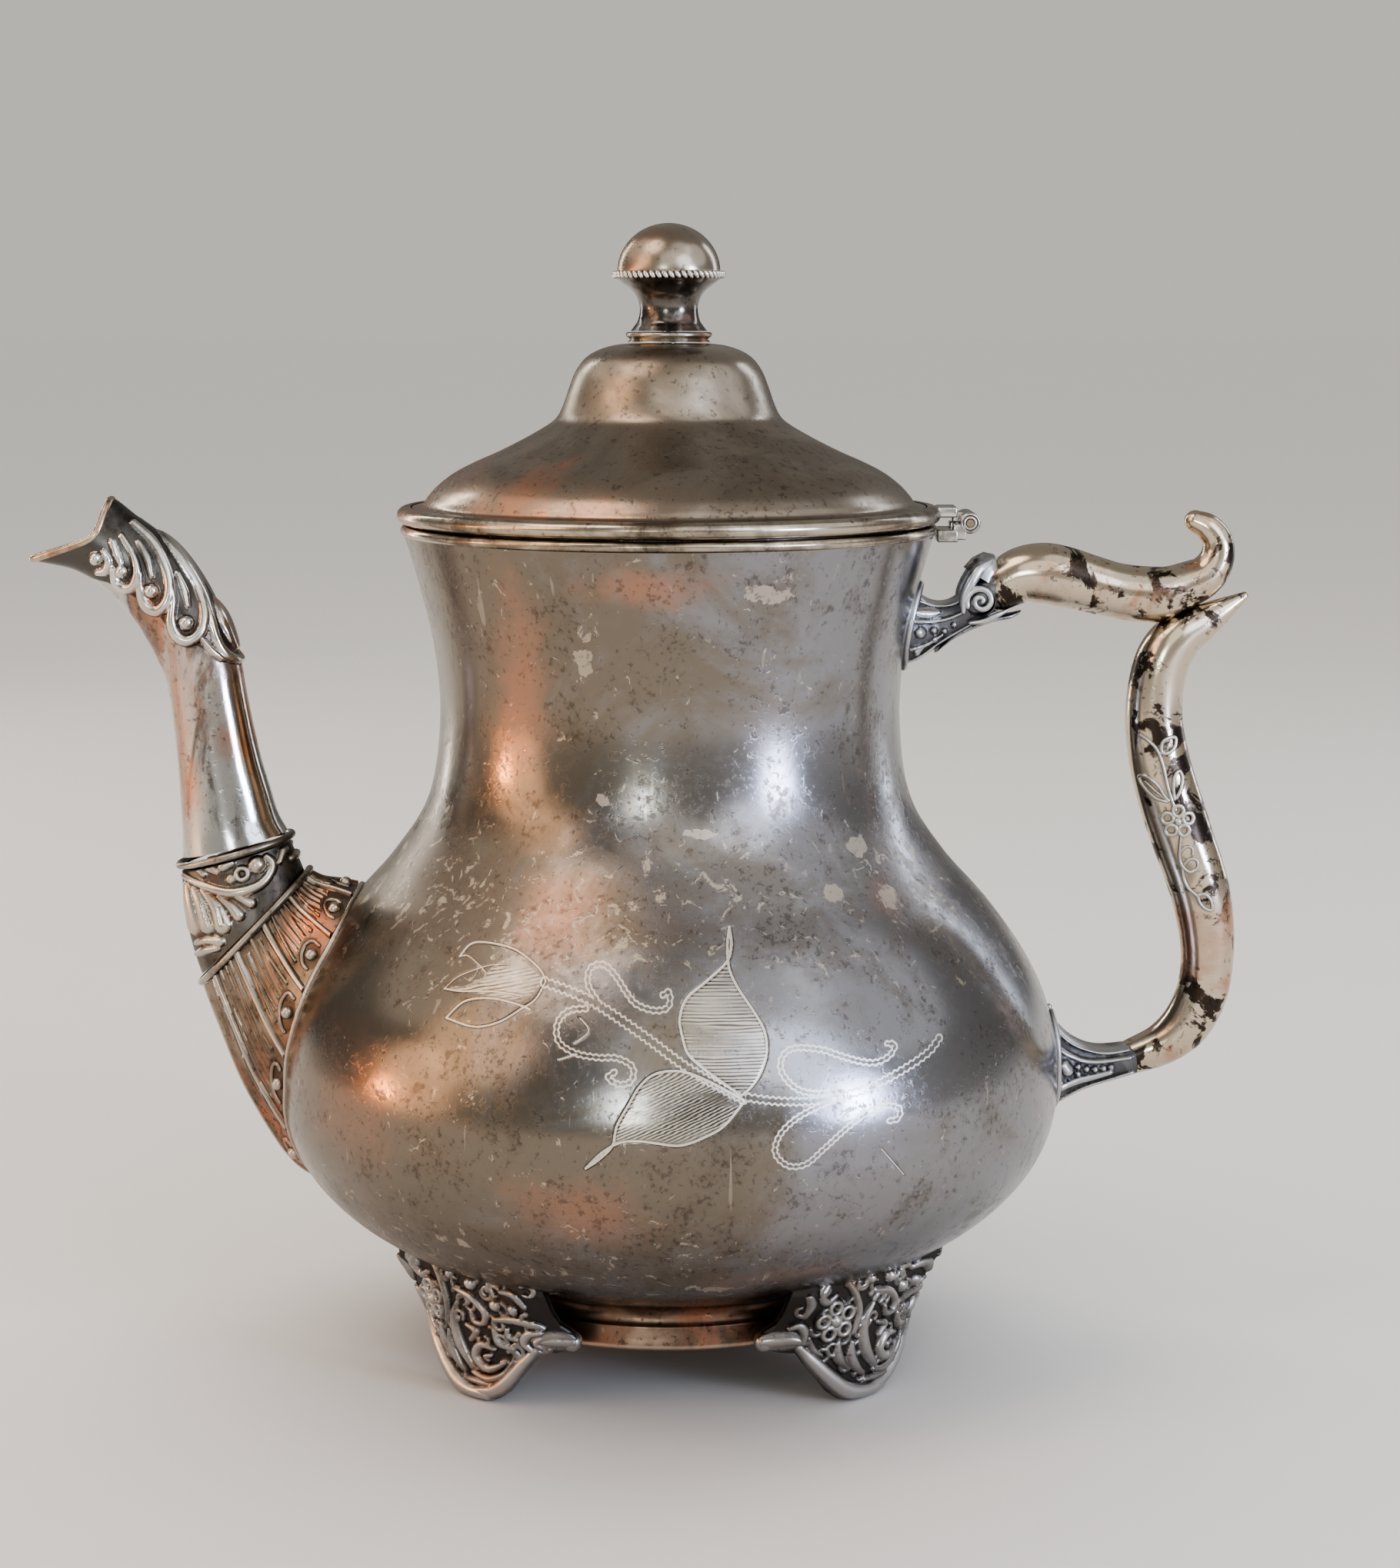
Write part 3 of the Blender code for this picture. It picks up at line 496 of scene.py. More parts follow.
    # the leaves' paler cut metal, with a painted sheen over it
    cut_metal_and_sheen = noise(tree, shifted(tree, place, (6, 6, 6), (0.6, 0.6, 1.4)), 70.0, 3.0)
    cut_metal_and_sheen = times(tree, ramp(tree, cut_metal_and_sheen, 0.28, 0.70), times(tree, shade, 0.75))
    colour = mix(tree, cut_metal_and_sheen, colour, (0.60, 0.56, 0.49))
    gaps = times(tree, ramp(tree, wave, -0.1, -0.8), times(tree, broken, 0.8))
    gaps = times(tree, gaps, shade)
    colour = mix(tree, gaps, colour, (0.09, 0.076, 0.06))
    cut = ramp(tree, relief, 0.35, 0.75)
    # painted shade: a dark band along the edges of each cut line
    foot = minus(tree, ramp(tree, relief, 0.02, 0.2), cut)
    colour = mix(tree, larger(tree, times(tree, foot, 0.7), 0.0), colour, black)
    cut = larger(tree, cut, larger(tree, steps, strokes))
    colour = mix(tree, times(tree, cut, 0.85), colour, (0.74, 0.69, 0.60))

    dull = plus(tree, times(tree, crust, 0.5), times(tree, chip_share, 0.5))
    dull = plus(tree, dull, times(tree, grit, 0.35))
    rough = add_node(tree, "ShaderNodeMapRange", {"Value": plus(tree, dull, cut), "To Min": 0.15,
                                                  "To Max": 0.44}).outputs["Result"]
    height = plus(tree, times(tree, mottle, 0.5), times(tree, chips, 0.35))
    height = minus(tree, height, times(tree, pits, 0.6))
    finish_metal(tree, shader, colour, rough, height, 0.12)
    return material


BODY_METAL = tarnished_body()
LID_METAL = aged_metal("tarnished_lid", (0.39, 0.337, 0.273), (0.235, 0.194, 0.15), (0.46, 0.26, 0.17),
                       (0.04, 0.032, 0.025), patch=30.0, patch_edge=0.14, copper_level=0.58, speckle=0.5,
                       roughness=(0.18, 0.38), lean=2.5)
FLANGE_METAL = aged_metal("worn_flange", (0.50, 0.44, 0.35), (0.17, 0.14, 0.105), (0.45, 0.25, 0.16),
                          (0.03, 0.025, 0.02), patch=55.0, patch_level=0.5, copper_level=0.64, speckle=0.5,
                          roughness=(0.14, 0.32), lean=1.0)
BRIGHT_METAL = aged_metal("bright_plate", (0.66, 0.65, 0.62), (0.36, 0.34, 0.31), (0.58, 0.36, 0.24),
                          (0.06, 0.05, 0.045), patch=60.0, patch_level=0.55, copper_level=0.68, speckle=0.4,
                          roughness=(0.14, 0.32))
TUBE_METAL = aged_metal("spout_tube_plate", (0.56, 0.55, 0.52), (0.15, 0.14, 0.13), (0.48, 0.25, 0.16),
                        (0.03, 0.025, 0.02), patch=75.0, patch_level=0.57, patch_edge=0.05, copper_level=0.62,
                        speckle=0.5, roughness=(0.10, 0.26), streak=(1, 1, 0.35))
CASTING_METAL = aged_metal("dark_casting", (0.40, 0.37, 0.32), (0.17, 0.145, 0.12), (0.42, 0.24, 0.16),
                           (0.022, 0.019, 0.017), patch=90.0, copper_level=0.58, speckle=0.6,
                           roughness=(0.2, 0.42), shine=(0.58, 0.55, 0.48))
BEAK_METAL = aged_metal("beak_casting", (0.55, 0.54, 0.51), (0.15, 0.14, 0.13), (0.48, 0.25, 0.16),
                        (0.045, 0.04, 0.035), patch=75.0, patch_level=0.57, patch_edge=0.05,
                        copper_level=0.62, speckle=0.5, roughness=(0.12, 0.30), streak=(1, 1, 0.35),
                        shine=(0.70, 0.68, 0.62))
LIP_METAL = aged_metal("worn_lip", (0.56, 0.45, 0.35), (0.26, 0.19, 0.14), (0.52, 0.29, 0.19),
                       (0.05, 0.04, 0.03), patch=120.0, copper_level=0.5, speckle=0.4,
                       roughness=(0.18, 0.36))
STEM_METAL = aged_metal("dark_stem", (0.17, 0.155, 0.14), (0.06, 0.052, 0.045), (0.30, 0.17, 0.12),
                        (0.02, 0.018, 0.016), patch=110.0, copper_level=0.68, speckle=0.5,
                        roughness=(0.10, 0.28), shine=(0.5, 0.48, 0.43))
SKIRT_METAL = aged_metal("copper_casting", (0.30, 0.245, 0.19), (0.13, 0.10, 0.076), (0.36, 0.165, 0.10),
                         (0.028, 0.02, 0.016), patch=60.0, copper_level=0.54, speckle=0.6,
                         roughness=(0.2, 0.42), shine=(0.60, 0.55, 0.48))
PEWTER_METAL = aged_metal("pewter_casting", (0.42, 0.42, 0.43), (0.20, 0.20, 0.21), (0.30, 0.24, 0.20),
                          (0.018, 0.018, 0.02), patch=90.0, copper_level=0.7, speckle=0.6,
                          roughness=(0.2, 0.42), shine=(0.62, 0.62, 0.61))
SPRIG_METAL = aged_metal("sprig_casting", (0.50, 0.48, 0.44), (0.30, 0.28, 0.245), (0.46, 0.32, 0.23),
                         (0.03, 0.026, 0.022), patch=120.0, copper_level=0.66, speckle=0.5,
                         roughness=(0.22, 0.4), shine=(0.66, 0.63, 0.57))
ARM_METAL = aged_metal("worn_arm_plate", (0.585, 0.50, 0.39), (0.05, 0.038, 0.03), (0.50, 0.30, 0.20),
                       (0.022, 0.018, 0.015), patch=95.0, patch_level=0.56, patch_edge=0.018,
                       copper_level=0.605, speckle=0.6, roughness=(0.14, 0.34))
FOOT_METAL = aged_metal("foot_casting", (0.33, 0.315, 0.30), (0.17, 0.158, 0.145), (0.30, 0.20, 0.145),
                        (0.045, 0.040, 0.037), patch=60.0, copper_level=0.62, speckle=0.5,
                        roughness=(0.24, 0.46), lean=1.2, shine=(0.56, 0.545, 0.52))
RING_METAL = aged_metal("copper_foot", (0.24, 0.165, 0.115), (0.09, 0.06, 0.042), (0.27, 0.125, 0.075),
                        (0.025, 0.018, 0.014), patch=50.0, copper_level=0.50, speckle=0.6,
                        roughness=(0.25, 0.45), shine=(0.62, 0.52, 0.40))


# ---------------------------------------------------------------- body

def body_outline():
    """Outer side of the body as (radius, height), from the mouth down to the edge of the base."""
    bulb_height, bulb_drop, roundness, base_radius = 58.0, 43.0, 2.2, 48.0
    neck = smooth([(54.9, BODY_TOP), (52.0, 163.0), (49.0, 149.0), (48.1, 134.0), (50.6, 118.0),
                   (58.2, 105.8), (68.4, 94.2), (77.2, 80.8), (81.4, 68.0), (BULB_RADIUS, bulb_height)], 12)
    turn = np.linspace(0, math.pi / 2, 60)[1:]
    radius = BULB_RADIUS + (base_radius - BULB_RADIUS) * (1 - np.cos(turn))
    share = 1 - (radius / BULB_RADIUS) ** roundness
    height = bulb_height - bulb_drop * share ** (1 / roundness)
    return np.vstack([neck, np.stack([radius, height], axis=1)])


BODY_OUTLINE = body_outline()


def body_radius(height):
    """Outer radius of the body at a height."""
    return np.interp(height, BODY_OUTLINE[::-1, 1], BODY_OUTLINE[::-1, 0])


def inward(outline, distance):
    """An outline moved square to itself towards the pot's inside."""
    step = np.gradient(outline, axis=0)
    step /= np.linalg.norm(step, axis=1, keepdims=True)
    return outline + distance * np.stack([step[:, 1], -step[:, 0]], axis=1)


def even_steps(outline, spacing):
    """Points along an outline at about even spacing."""
    length = np.concatenate([[0], np.cumsum(np.linalg.norm(np.diff(outline, axis=0), axis=1))])
    place = np.linspace(0, length[-1], max(2, round(length[-1] / spacing)))
    return np.stack([np.interp(place, length, column) for column in outline.T], axis=1)


def closed_body_outline():
    """Down the outside to the axis and up the inside to the rim."""
    inner_side = inward(BODY_OUTLINE, WALL)
    base = BODY_OUTLINE[-1]
    outer = np.vstack([even_steps(BODY_OUTLINE, 1.5), [(r, base[1]) for r in (30, 15, 0)]])
    inner = np.vstack([[(r, base[1] + WALL) for r in (0, 15, 30)], even_steps(inner_side, 3.0)[::-1]])
    return outer, inner


# half width of the lines round the leaves
LEAF_EDGE = 0.36


def engraving():
    """The engraved spray on the front of the bulb, in (x, z).

    Cut lines are (half width, line). Stems and tendrils are (swing, line) and are walked in zigzag with a
    flat graver. Shaded areas are (outline, slope of the strokes).
    """
    lines, walked, shaded = [], [], []

    def line(*points, width=0.26):
        lines.append((width, smooth(points, 6)))

    def walk(*points, swing=0.42):
        walked.append((swing, smooth(points, 8)))

    # bud with three petals
    line((-40.3, 94.6), (-38, 97), (-34.1, 97.5), (-29, 96.8), (-24.5, 94.2), (-23.1, 92.1))
    line((-40.3, 94.6), (-38.6, 94.9), (-36.2, 93.6), (-34.8, 92.4), width=0.16)
    line((-43.1, 88.9), (-40.8, 91.0), (-37.6, 92.6), (-33.6, 94.0), (-30.4, 94.2), width=0.14)
    line((-43.1, 88.9), (-40.0, 88.9), (-36.6, 89.3), (-32.6, 89.6), (-27.6, 89.4), width=0.22)
    line((-42.5, 84.1), (-39, 87.3), (-34, 88.4), (-29.1, 88.0), (-26.0, 87.2))
    line((-42.5, 84.1), (-36.9, 83.3), (-32, 84.6), (-28.0, 87.0), (-25.0, 89.0), (-23.1, 92.1))
    # stems
    walk((-23.1, 91.9), (-18, 90.6), (-12.7, 88.6), (-4, 83.6), (4.4, 78), (14.6, 72.3), swing=0.7)
    walk((15.5, 72.6), (21.4, 71.6), (27.4, 71.2), (34, 71.6), (40.5, 73), (49.7, 76.6), (52.6, 79.0),
         swing=0.6)
    # tendrils
    walk((-12.7, 88.9), (-14.9, 92.1), (-14.4, 94.8), (-11.9, 95.4), (-9.6, 93.6), (-7.6, 91.0), (-5.6, 89.0),
         (-2.2, 88.0), (0.4, 88.6), (0.6, 91.0), (-0.6, 90.6))
    walk((-15.3, 88.0), (-18.6, 87.4), (-20.6, 85.2), (-20.3, 82.2), (-17.2, 80.4), (-12.8, 79.8),
         (-9.2, 79.8), (-6.3, 78.4), (-6.4, 76.0), (-8.6, 75.2), (-10.8, 76.3), (-9.6, 77.4))
    line((-16.8, 80.2), (-20.4, 79.0), width=0.2)
    line((-16.4, 86.4), (-14.6, 84.2), (-17.4, 82.0), width=0.2)
    walk((31.7, 72.4), (27.6, 72.6), (24.4, 73.8), (21.9, 76.6), (21.8, 79.2), (24.0, 80.8), (29.2, 80.2),
         (33.4, 78.6), (37.0, 77.3), (40.0, 76.8), (42.6, 77.6), (43.7, 79.3), (42.2, 79.8))
    walk((31.7, 71.0), (27.4, 69.6), (23.9, 67.8), (21.3, 65.2), (20.6, 62.0), (23.0, 59.4), (26.4, 59.4),
         (29.8, 62.0), (34.3, 65.6), (38.0, 67.8), (41.6, 68.7), (44.4, 67.8), (44.2, 66.0), (42.4, 65.8))
    line((41.0, 60.6), (45.6, 54.6), width=0.16)
    # upper leaf, with level shading
    left = smooth([(12.0, 101.6), (12.4, 98.6), (11.4, 95.8), (7.4, 92.6), (3.9, 90.0), (2.6, 86.6),
                   (3.2, 83.2), (4.2, 80.6), (6.6, 78.4), (10.2, 75.8), (14.2, 73.0)], 6)
    right = smooth([(12.0, 101.6), (11.6, 98.6), (11.9, 95.0), (13.4, 91.8), (16.6, 87.4), (18.6, 84.0),
                    (19.0, 80.4), (17.9, 77.0), (16.2, 74.6), (14.2, 73.0)], 6)
    lines += [(LEAF_EDGE, left), (LEAF_EDGE, right)]
    shaded.append((np.vstack([left, right[::-1]]), 0.02))
    # lower leaf, with slanted shading
    top = smooth([(-15.1, 59.4), (-12.6, 61.2), (-10.0, 64.0), (-9.2, 67.6), (-7.0, 71.5), (-4.8, 75.0),
                  (-1.8, 77.2), (2.8, 77.6), (8.0, 75.8), (14.9, 72.1)], 6)
    bottom = smooth([(-15.1, 59.4), (-12.0, 62.6), (-8.6, 64.6), (-5.2, 65.0), (-1.6, 64.6), (2.8, 64.2),
                     (7.6, 65.8), (11.1, 67.8), (14.9, 72.1)], 6)
    lines += [(LEAF_EDGE, top), (LEAF_EDGE, bottom)]
    shaded.append((np.vstack([top, bottom[::-1]]), -0.45))
    petal = smooth([(-42.5, 89.2), (-37.0, 90.4), (-34.6, 92.6), (-32.6, 94.4), (-29.0, 95.6), (-25.0, 93.6),
                    (-24.0, 91.6), (-28.0, 88.4), (-34.0, 88.8), (-42.5, 89.2)], 6)
    shaded.append((petal, -0.25))
    return lines, walked, shaded


# distance given to points that no engraved line is near
FAR_OFF = 9.0


def walked_field(x, z, lines):
    """Distance from the nearest walked line, distance along it, and its swing, in millimetres."""
    across, along = np.full(x.shape, FAR_OFF), np.zeros(x.shape)
    swing = np.full(x.shape, 0.4)
    for line_swing, line in lines:
        walked = 0.0
        for start, end in zip(line, line[1:]):
            step = end - start
            length = max(np.hypot(*step), 1e-6)
            low, high = np.minimum(start, end) - 2.5, np.maximum(start, end) + 2.5
            near = (x > low[0]) & (x < high[0]) & (z > low[1]) & (z < high[1])
            a, b = x[near] - start[0], z[near] - start[1]
            share = np.clip((a * step[0] + b * step[1]) / length ** 2, 0, 1)
            away = np.hypot(a - share * step[0], b - share * step[1])
            closer = away < across[near]
            spots = np.flatnonzero(near.ravel())[closer.ravel()]
            across.ravel()[spots] = away[closer]
            along.ravel()[spots] = walked + (share * length)[closer]
            swing.ravel()[spots] = line_swing
            walked += length
    return across, along, swing


def inside(outline, x, z):
    """True at points inside a closed outline."""
    within = np.zeros(x.shape, bool)
    for (x0, z0), (x1, z1) in zip(outline, np.roll(outline, -1, axis=0)):
        crossing = (z0 > z) != (z1 > z)
        at = x0 + (x1 - x0) * (z - z0) / np.where(z1 == z0, 1e-9, z1 - z0)
        within ^= crossing & (x < at)
    return within


def groove_field(x, z, lines, reach=1.0):
    """Nearest distance to the engraved lines in half widths, and in millimetres."""
    relative = np.full(x.shape, FAR_OFF)
    nearest = np.full(x.shape, FAR_OFF)
    for half_width, line in lines:
        low, high = line.min(axis=0) - reach, line.max(axis=0) + reach
        near = (x > low[0]) & (x < high[0]) & (z > low[1]) & (z < high[1])
        a, b = x[near], z[near]
        distance = np.full(a.shape, FAR_OFF)
        for start, end in zip(line, line[1:]):
            step = end - start
            along = (a - start[0]) * step[0] + (b - start[1]) * step[1]
            share = np.clip(along / max(step @ step, 1e-9), 0, 1)
            away = np.hypot(a - start[0] - share * step[0], b - start[1] - share * step[1])
            distance = np.minimum(distance, away)
        relative[near] = np.minimum(relative[near], distance / half_width)
        nearest[near] = np.minimum(nearest[near], distance)
    return relative, nearest


GROOVE_DEPTH = 0.14


def make_body():
    """The spun body with its engraving cut into a mesh that is fine only along the lines."""
    outer, inner = closed_body_outline()
    outline = np.vstack([outer, inner])
    length = np.concatenate([[0], np.cumsum(np.linalg.norm(np.diff(outline, axis=0), axis=1))])
    outside_end = length[len(outer) - 4]
    segments = 216
    lines, walked, shaded = engraving()
    drawn = lines + walked

    def place(flat):
        """Points (turn, length along the outline) mapped on to the smooth body."""
        turn, along = flat[:, 0], flat[:, 1]
        radius, height = np.interp(along, length, outline[:, 0]), np.interp(along, length, outline[:, 1])
        radius = np.where(along < outside_end, body_radius(height), radius)
        return radius, turn, height

    builder = bmesh.new()
    rows = [[builder.verts.new((turn * 2 * math.pi / segments, along, 0)) for turn in range(segments + 1)]
            for along in length]
    for low, high in zip(rows, rows[1:]):
        for k in range(segments):
            builder.faces.new((low[k], high[k], high[k + 1], low[k + 1]))
    for reach in (1.6, 0.9, 0.5):
        flat = np.array([v.co[:2] for v in builder.verts])
        radius, turn, height = place(flat)
        x, y = radius * np.cos(turn), radius * np.sin(turn)
        nearest = groove_field(x, height, drawn, reach=2.0)[1]
        close = (nearest < reach) & (y < 0) & (flat[:, 1] < outside_end)
        builder.verts.ensure_lookup_table()
        for vertex, value in zip(builder.verts, close):
            vertex.tag = bool(value)
        edges = {edge for face in builder.faces if any(v.tag for v in face.verts) for edge in face.edges}
        bmesh.ops.subdivide_edges(builder, edges=list(edges), cuts=1, use_grid_fill=True)
    flat = np.array([v.co[:2] for v in builder.verts])
    radius, turn, height = place(flat)
    x, y = radius * np.cos(turn), radius * np.sin(turn)
    on_front = (y < 0) & (flat[:, 1] < outside_end)
    relative = groove_field(x, height, lines, reach=1.0)[0]
    cut = np.where(on_front, np.clip(1 - relative ** 2, 0, 1), 0)
    # the spun wall is never quite true: long shallow waves
    wave = 0.10 * np.sin(3 * turn + 0.05 * height) + 0.07 * np.sin(7 * turn - 0.09 * height + 1.0)
    wave *= np.clip((BODY_TOP - 4 - height) / 20, 0, 1) * np.clip((height - 30) / 20, 0, 1)
    radius = radius - GROOVE_DEPTH * cut + wave
    points = np.stack([radius * np.cos(turn) + AXIS_X, radius * np.sin(turn), height], axis=1) * MM
    for vertex, point in zip(builder.verts, points):
        vertex.co = point
    mesh = bpy.data.meshes.new("body_shell_fine")
    builder.to_mesh(mesh)
    builder.free()
    store(mesh, "relief", cut)
    across, along, swing = walked_field(x, height, walked)
    across = np.where(on_front, across, FAR_OFF)
    shade, slope = np.zeros(x.shape), np.zeros(x.shape)
    for outline_of_leaf, lean in shaded:
        within = inside(outline_of_leaf, x, height) & on_front
        shade[within], slope[within] = 1.0, lean
    for label, values in {"across": across, "along": along, "swing": swing, "shade": shade,
                          "slope": slope}.items():
        store(mesh, label, values)
    return finish_piece(mesh, "body_shell_fine", BODY_METAL, "pot", "body_shell", 60)


make_body()


def make_turned(name, outline, material, slot, body="pot", segments=192, closed=True, sharp=50):
    """A turned piece from its outline, closed round or running from axis to axis."""
    shape = Shape().add(turned(outline, segments), wrap_rows=closed)
    shape.make(name + "_fine", material, slot, body, name, sharp)


def arc(centre_r, centre_z, radius, start, end, steps=10):
    """Points (radius, height) along an arc between two angles in degrees."""
    angle = np.radians(np.linspace(start, end, steps))
    return np.stack([centre_r + radius * np.cos(angle), centre_z + radius * np.sin(angle)], axis=1)


make_turned("neck_rim", np.vstack([arc(54.5, 173.9, 1.1, 80, -80, 12), [(54.1, 172.9), (54.1, 174.9)]]),
            FLANGE_METAL, "bright_plate")
base = BODY_OUTLINE[-1]
foot_outer = smooth([(46.6, base[1] - 0.1), (45.4, 20.2), (44.9, 18.8), (45.2, 17.5), (45.9, 16.7)], 6)
foot_lip = smooth([(45.9, 16.7), (46.3, 14.6), (46.7, 12.6), (46.3, 12.0), (45.4, 12.1), (44.6, 15.6)], 6)
foot_inner = smooth([(44.4, 16.2), (43.6, 17.2), (43.2, 18.6), (43.6, 20.0), (45.0, base[1] - 0.1)], 6)
ring_outline = np.vstack([foot_outer, foot_lip[1:], foot_inner])
ring_edge = np.clip(1 - np.hypot(ring_outline[:, 0] - 46.4, ring_outline[:, 1] - 12.6) / 1.1, 0, 1)
ring = Shape().add(turned(ring_outline), wrap_rows=True, relief=ring_edge[:, None])
ring.make("foot_ring_fine", RING_METAL, "copper_tarnish")

lid_keys = [(1.8, LID_CROWN), (9.0, LID_CROWN), (13.6, 211.0), (17.0, 209.2), (19.2, 206.4), (20.6, 203.0),
            (21.8, 199.6), (23.2, 196.9), (25.6, 195.0), (30.2, 192.4), (35.4, 189.8), (40.4, 187.6),
            (44.6, 185.4), (48.0, 182.8), (50.0, 180.6), (51.2, 179.0), (53.2, 178.6)]
lid_outer = smooth(lid_keys, 8)
make_turned("lid_shell", np.vstack([lid_outer, inward(lid_outer, 1.0)[::-1]]), LID_METAL, "tarnished_lid",
            "lid", 208)
flange = smooth([(53.5, 178.7), (55.0, 178.65), (56.0, 178.0), (56.35, 177.0), (56.0, 176.0), (55.0, 175.35),
                 (53.5, 175.3)], 6)
make_turned("lid_flange", flange, FLANGE_METAL, "bright_plate", "lid")
make_turned("lid_bezel", [(51.3, 177.2), (52.1, 177.2), (52.0, 171.0), (51.7, 169.9), (51.4, 169.7),
                          (51.1, 169.9)], BRIGHT_METAL, "bright_plate", "lid", 160)


# ---------------------------------------------------------------- finial

DOME_RADIUS = 10.6
DOME_BASE = 225.8
dome_arc = arc(0, 0, 1, 90, 0, 24) * (DOME_RADIUS, FINIAL_TOP - DOME_BASE - 0.7) + (0, DOME_BASE + 0.7)
dome = np.vstack([dome_arc, [(10.4, DOME_BASE + 0.3), (9.9, DOME_BASE), (0, DOME_BASE)]])
make_turned("finial_dome", dome, LID_METAL, "tarnished_lid", "lid", 96, closed=False)
stem_waist = smooth([(10.7, 225.2), (9.6, 224.3), (8.1, 223.2), (6.8, 221.8), (6.1, 220.0), (6.0, 218.4),
                     (6.4, 216.6), (7.2, 215.4), (7.9, 214.5)], 6)
stem = np.vstack([[(0, 225.6), (10.2, 225.6)], stem_waist, [(1.8, 214.5), (1.8, 221.9), (0, 221.9)]])
make_turned("finial_stem", stem, STEM_METAL, "dark_casting", "lid", 96, closed=False, sharp=35)
collar = np.vstack([[(1.8, 214.2), (8.2, 214.25)], arc(8.35, 213.75, 0.55, 80, -80, 9),
                    smooth([(8.2, 213.0), (8.05, 212.7), (8.4, 212.45), (8.5, 212.2)], 4), [(1.8, 212.2)]])
make_turned("finial_collar", collar, CASTING_METAL, "dark_casting", "lid", 96, sharp=35)

# rope edge: a core darkened with painted shade, with slanted beads round it
BEADS = 54
rope_core = [(11.0 * math.cos(a), 11.0 * math.sin(a), DOME_BASE + 0.1)
             for a in np.linspace(0, 2 * math.pi, 96, endpoint=False)]
rope = Shape()
rope.add(sweep(rope_core, 0.45, (0, 0, 1), 10, closed=True), wrap_rows=True, relief=-0.8)
for index in range(BEADS):
    turn = 2 * math.pi * index / BEADS
    out = np.array([math.cos(turn), math.sin(turn), 0])
    around = np.array([-math.sin(turn), math.cos(turn), 0])
    middle = out * 11.25 + (0, 0, DOME_BASE + 0.1)
    slant = around * 0.34 - np.array([0, 0, 0.52])
    rope.bar([middle - slant * 0.7, middle - slant * 0.2, middle + slant * 0.2, middle + slant * 0.7],
             [0.44, 0.52, 0.52, 0.44], out, 8, relief=0.8)
rope.make("finial_rope_ring_fine", BRIGHT_METAL, "bright_plate", "lid")


# ---------------------------------------------------------------- spout

SKIRT = [(-66.5, 66.0, 79, 31.0, 29.0), (-72.5, 69.0, 76, 30.0, 26.0), (-79.0, 76.0, 68, 25.0, 20.0),
         (-84.0, 83.5, 57, 19.4, 15.0), (-87.2, 89.2, 47, 16.2, 12.4)]
COLLAR = [(-88.3, 90.6, 45, 15.4, 11.8), (-89.8, 95.6, 35, 14.2, 11.0), (-91.0, 100.8, 25, 12.9, 10.2),
          (-91.5, 105.0, 16, 11.9, 9.6)]
TUBE = [(-91.7, 107.6, 14, 11.4, 9.4), (-92.6, 112.0, 10, 10.3, 8.8), (-93.4, 117.5, 7, 9.6, 8.3),
        (-94.5, 124.5, 6, 8.8, 7.8), (-95.6, 132.0, 6, 8.3, 7.4), (-96.7, 139.5, 6, 8.1, 7.2),
        (-97.2, 143.0, 6, 8.1, 7.2)]
BEAK = [(-97.2, 143.0, 6, 8.1, 7.2), (-98.5, 147.5, 6, 8.5, 7.6), (-100.6, 152.8, 9, 8.9, 7.8),
        (-103.4, 157.4, 14, 8.7, 7.6), (-107.3, 162.6, 22, 8.8, 7.4), (-111.8, 167.3, 31, 8.7, 7.1),
        (-117.2, 170.9, 40, 8.7, 6.7), (-122.2, 173.4, 46, 9.6, 6.0), (-126.6, 174.4, 50, 9.4, 5.2)]


def lofted(sections):
    """Function of (share along, angle) on elliptical sections (x, z, slope, half length, half width)."""
    table = smooth(sections, 24)
    steps = np.linspace(0, 1, len(table))

    def surface(share, angle, shrink=0.0):
        x, z, slope, length, width = (np.interp(share, steps, column) for column in table.T)
        reach = (length - shrink) * np.cos(angle)
        slope = np.radians(slope)
        out = (width - shrink) * np.sin(angle)
        return np.stack([x + reach * np.cos(slope), out, z + reach * np.sin(slope)], axis=-1)

    return surface


def body_start(surface, angle):
    """Share along a loft, for each angle, at which it is about to come out of the body."""
    share = np.linspace(0, 1, 400)[:, None]
    points = surface(share, angle)
    buried = np.hypot(points[..., 0], points[..., 1]) < body_radius(points[..., 2]) - 0.4
    last = len(share) - 1 - np.argmax(buried[::-1], axis=0)
    return share[np.where(buried.any(axis=0), last, 0), 0]


def loft_shape(surface, start, rows, columns, relief=None):
    """A hollow length of loft, closed over both ends, with relief raised on its outer side."""
    angle = full_turn(columns)
    share = start + (1.0 - start) * np.linspace(0, 1, rows)[:, None] + 0 * angle
    outer = surface(share, angle)
    tone = np.zeros(outer.shape[:2])
    if relief:
        height, tone = relief(outer, angle)
        outer = outer - grid_normals(outer) * height[..., None]
    inner_share = start + (1.0 - start) * np.linspace(1, 0, 10)[:, None] + 0 * angle
    inner = surface(inner_share, angle, SPOUT_WALL)
    # painted shade: the inner side is darkened
    return Shape().add(np.vstack([outer, inner]), wrap_rows=True,
                       relief=np.vstack([tone, np.full(inner.shape[:2], -0.3)]))


def side_relief(strokes, ground):
    """Relief drawn on the side view, the same on the front and the back, on a ground darkened with painted
    shade.
    """
    def relief(points, angle):
        raised, sunk = carve(points[..., 0], points[..., 2], strokes)
        tone = np.where(raised > 0.12, np.clip(raised, 0, 1), ground) - sunk
        return raised - sunk, tone
    return relief


# skirt: twelve panels between ridges, each with fine stripes and a bead in the scallop at the body
PANELS = 12
BEAD_SETBACK = 4.4
SKIRT_COLUMNS = 560
SKIRT_ROWS = 130
skirt_surface = lofted(SKIRT)
skirt_start = body_start(skirt_surface, full_turn(SKIRT_COLUMNS))


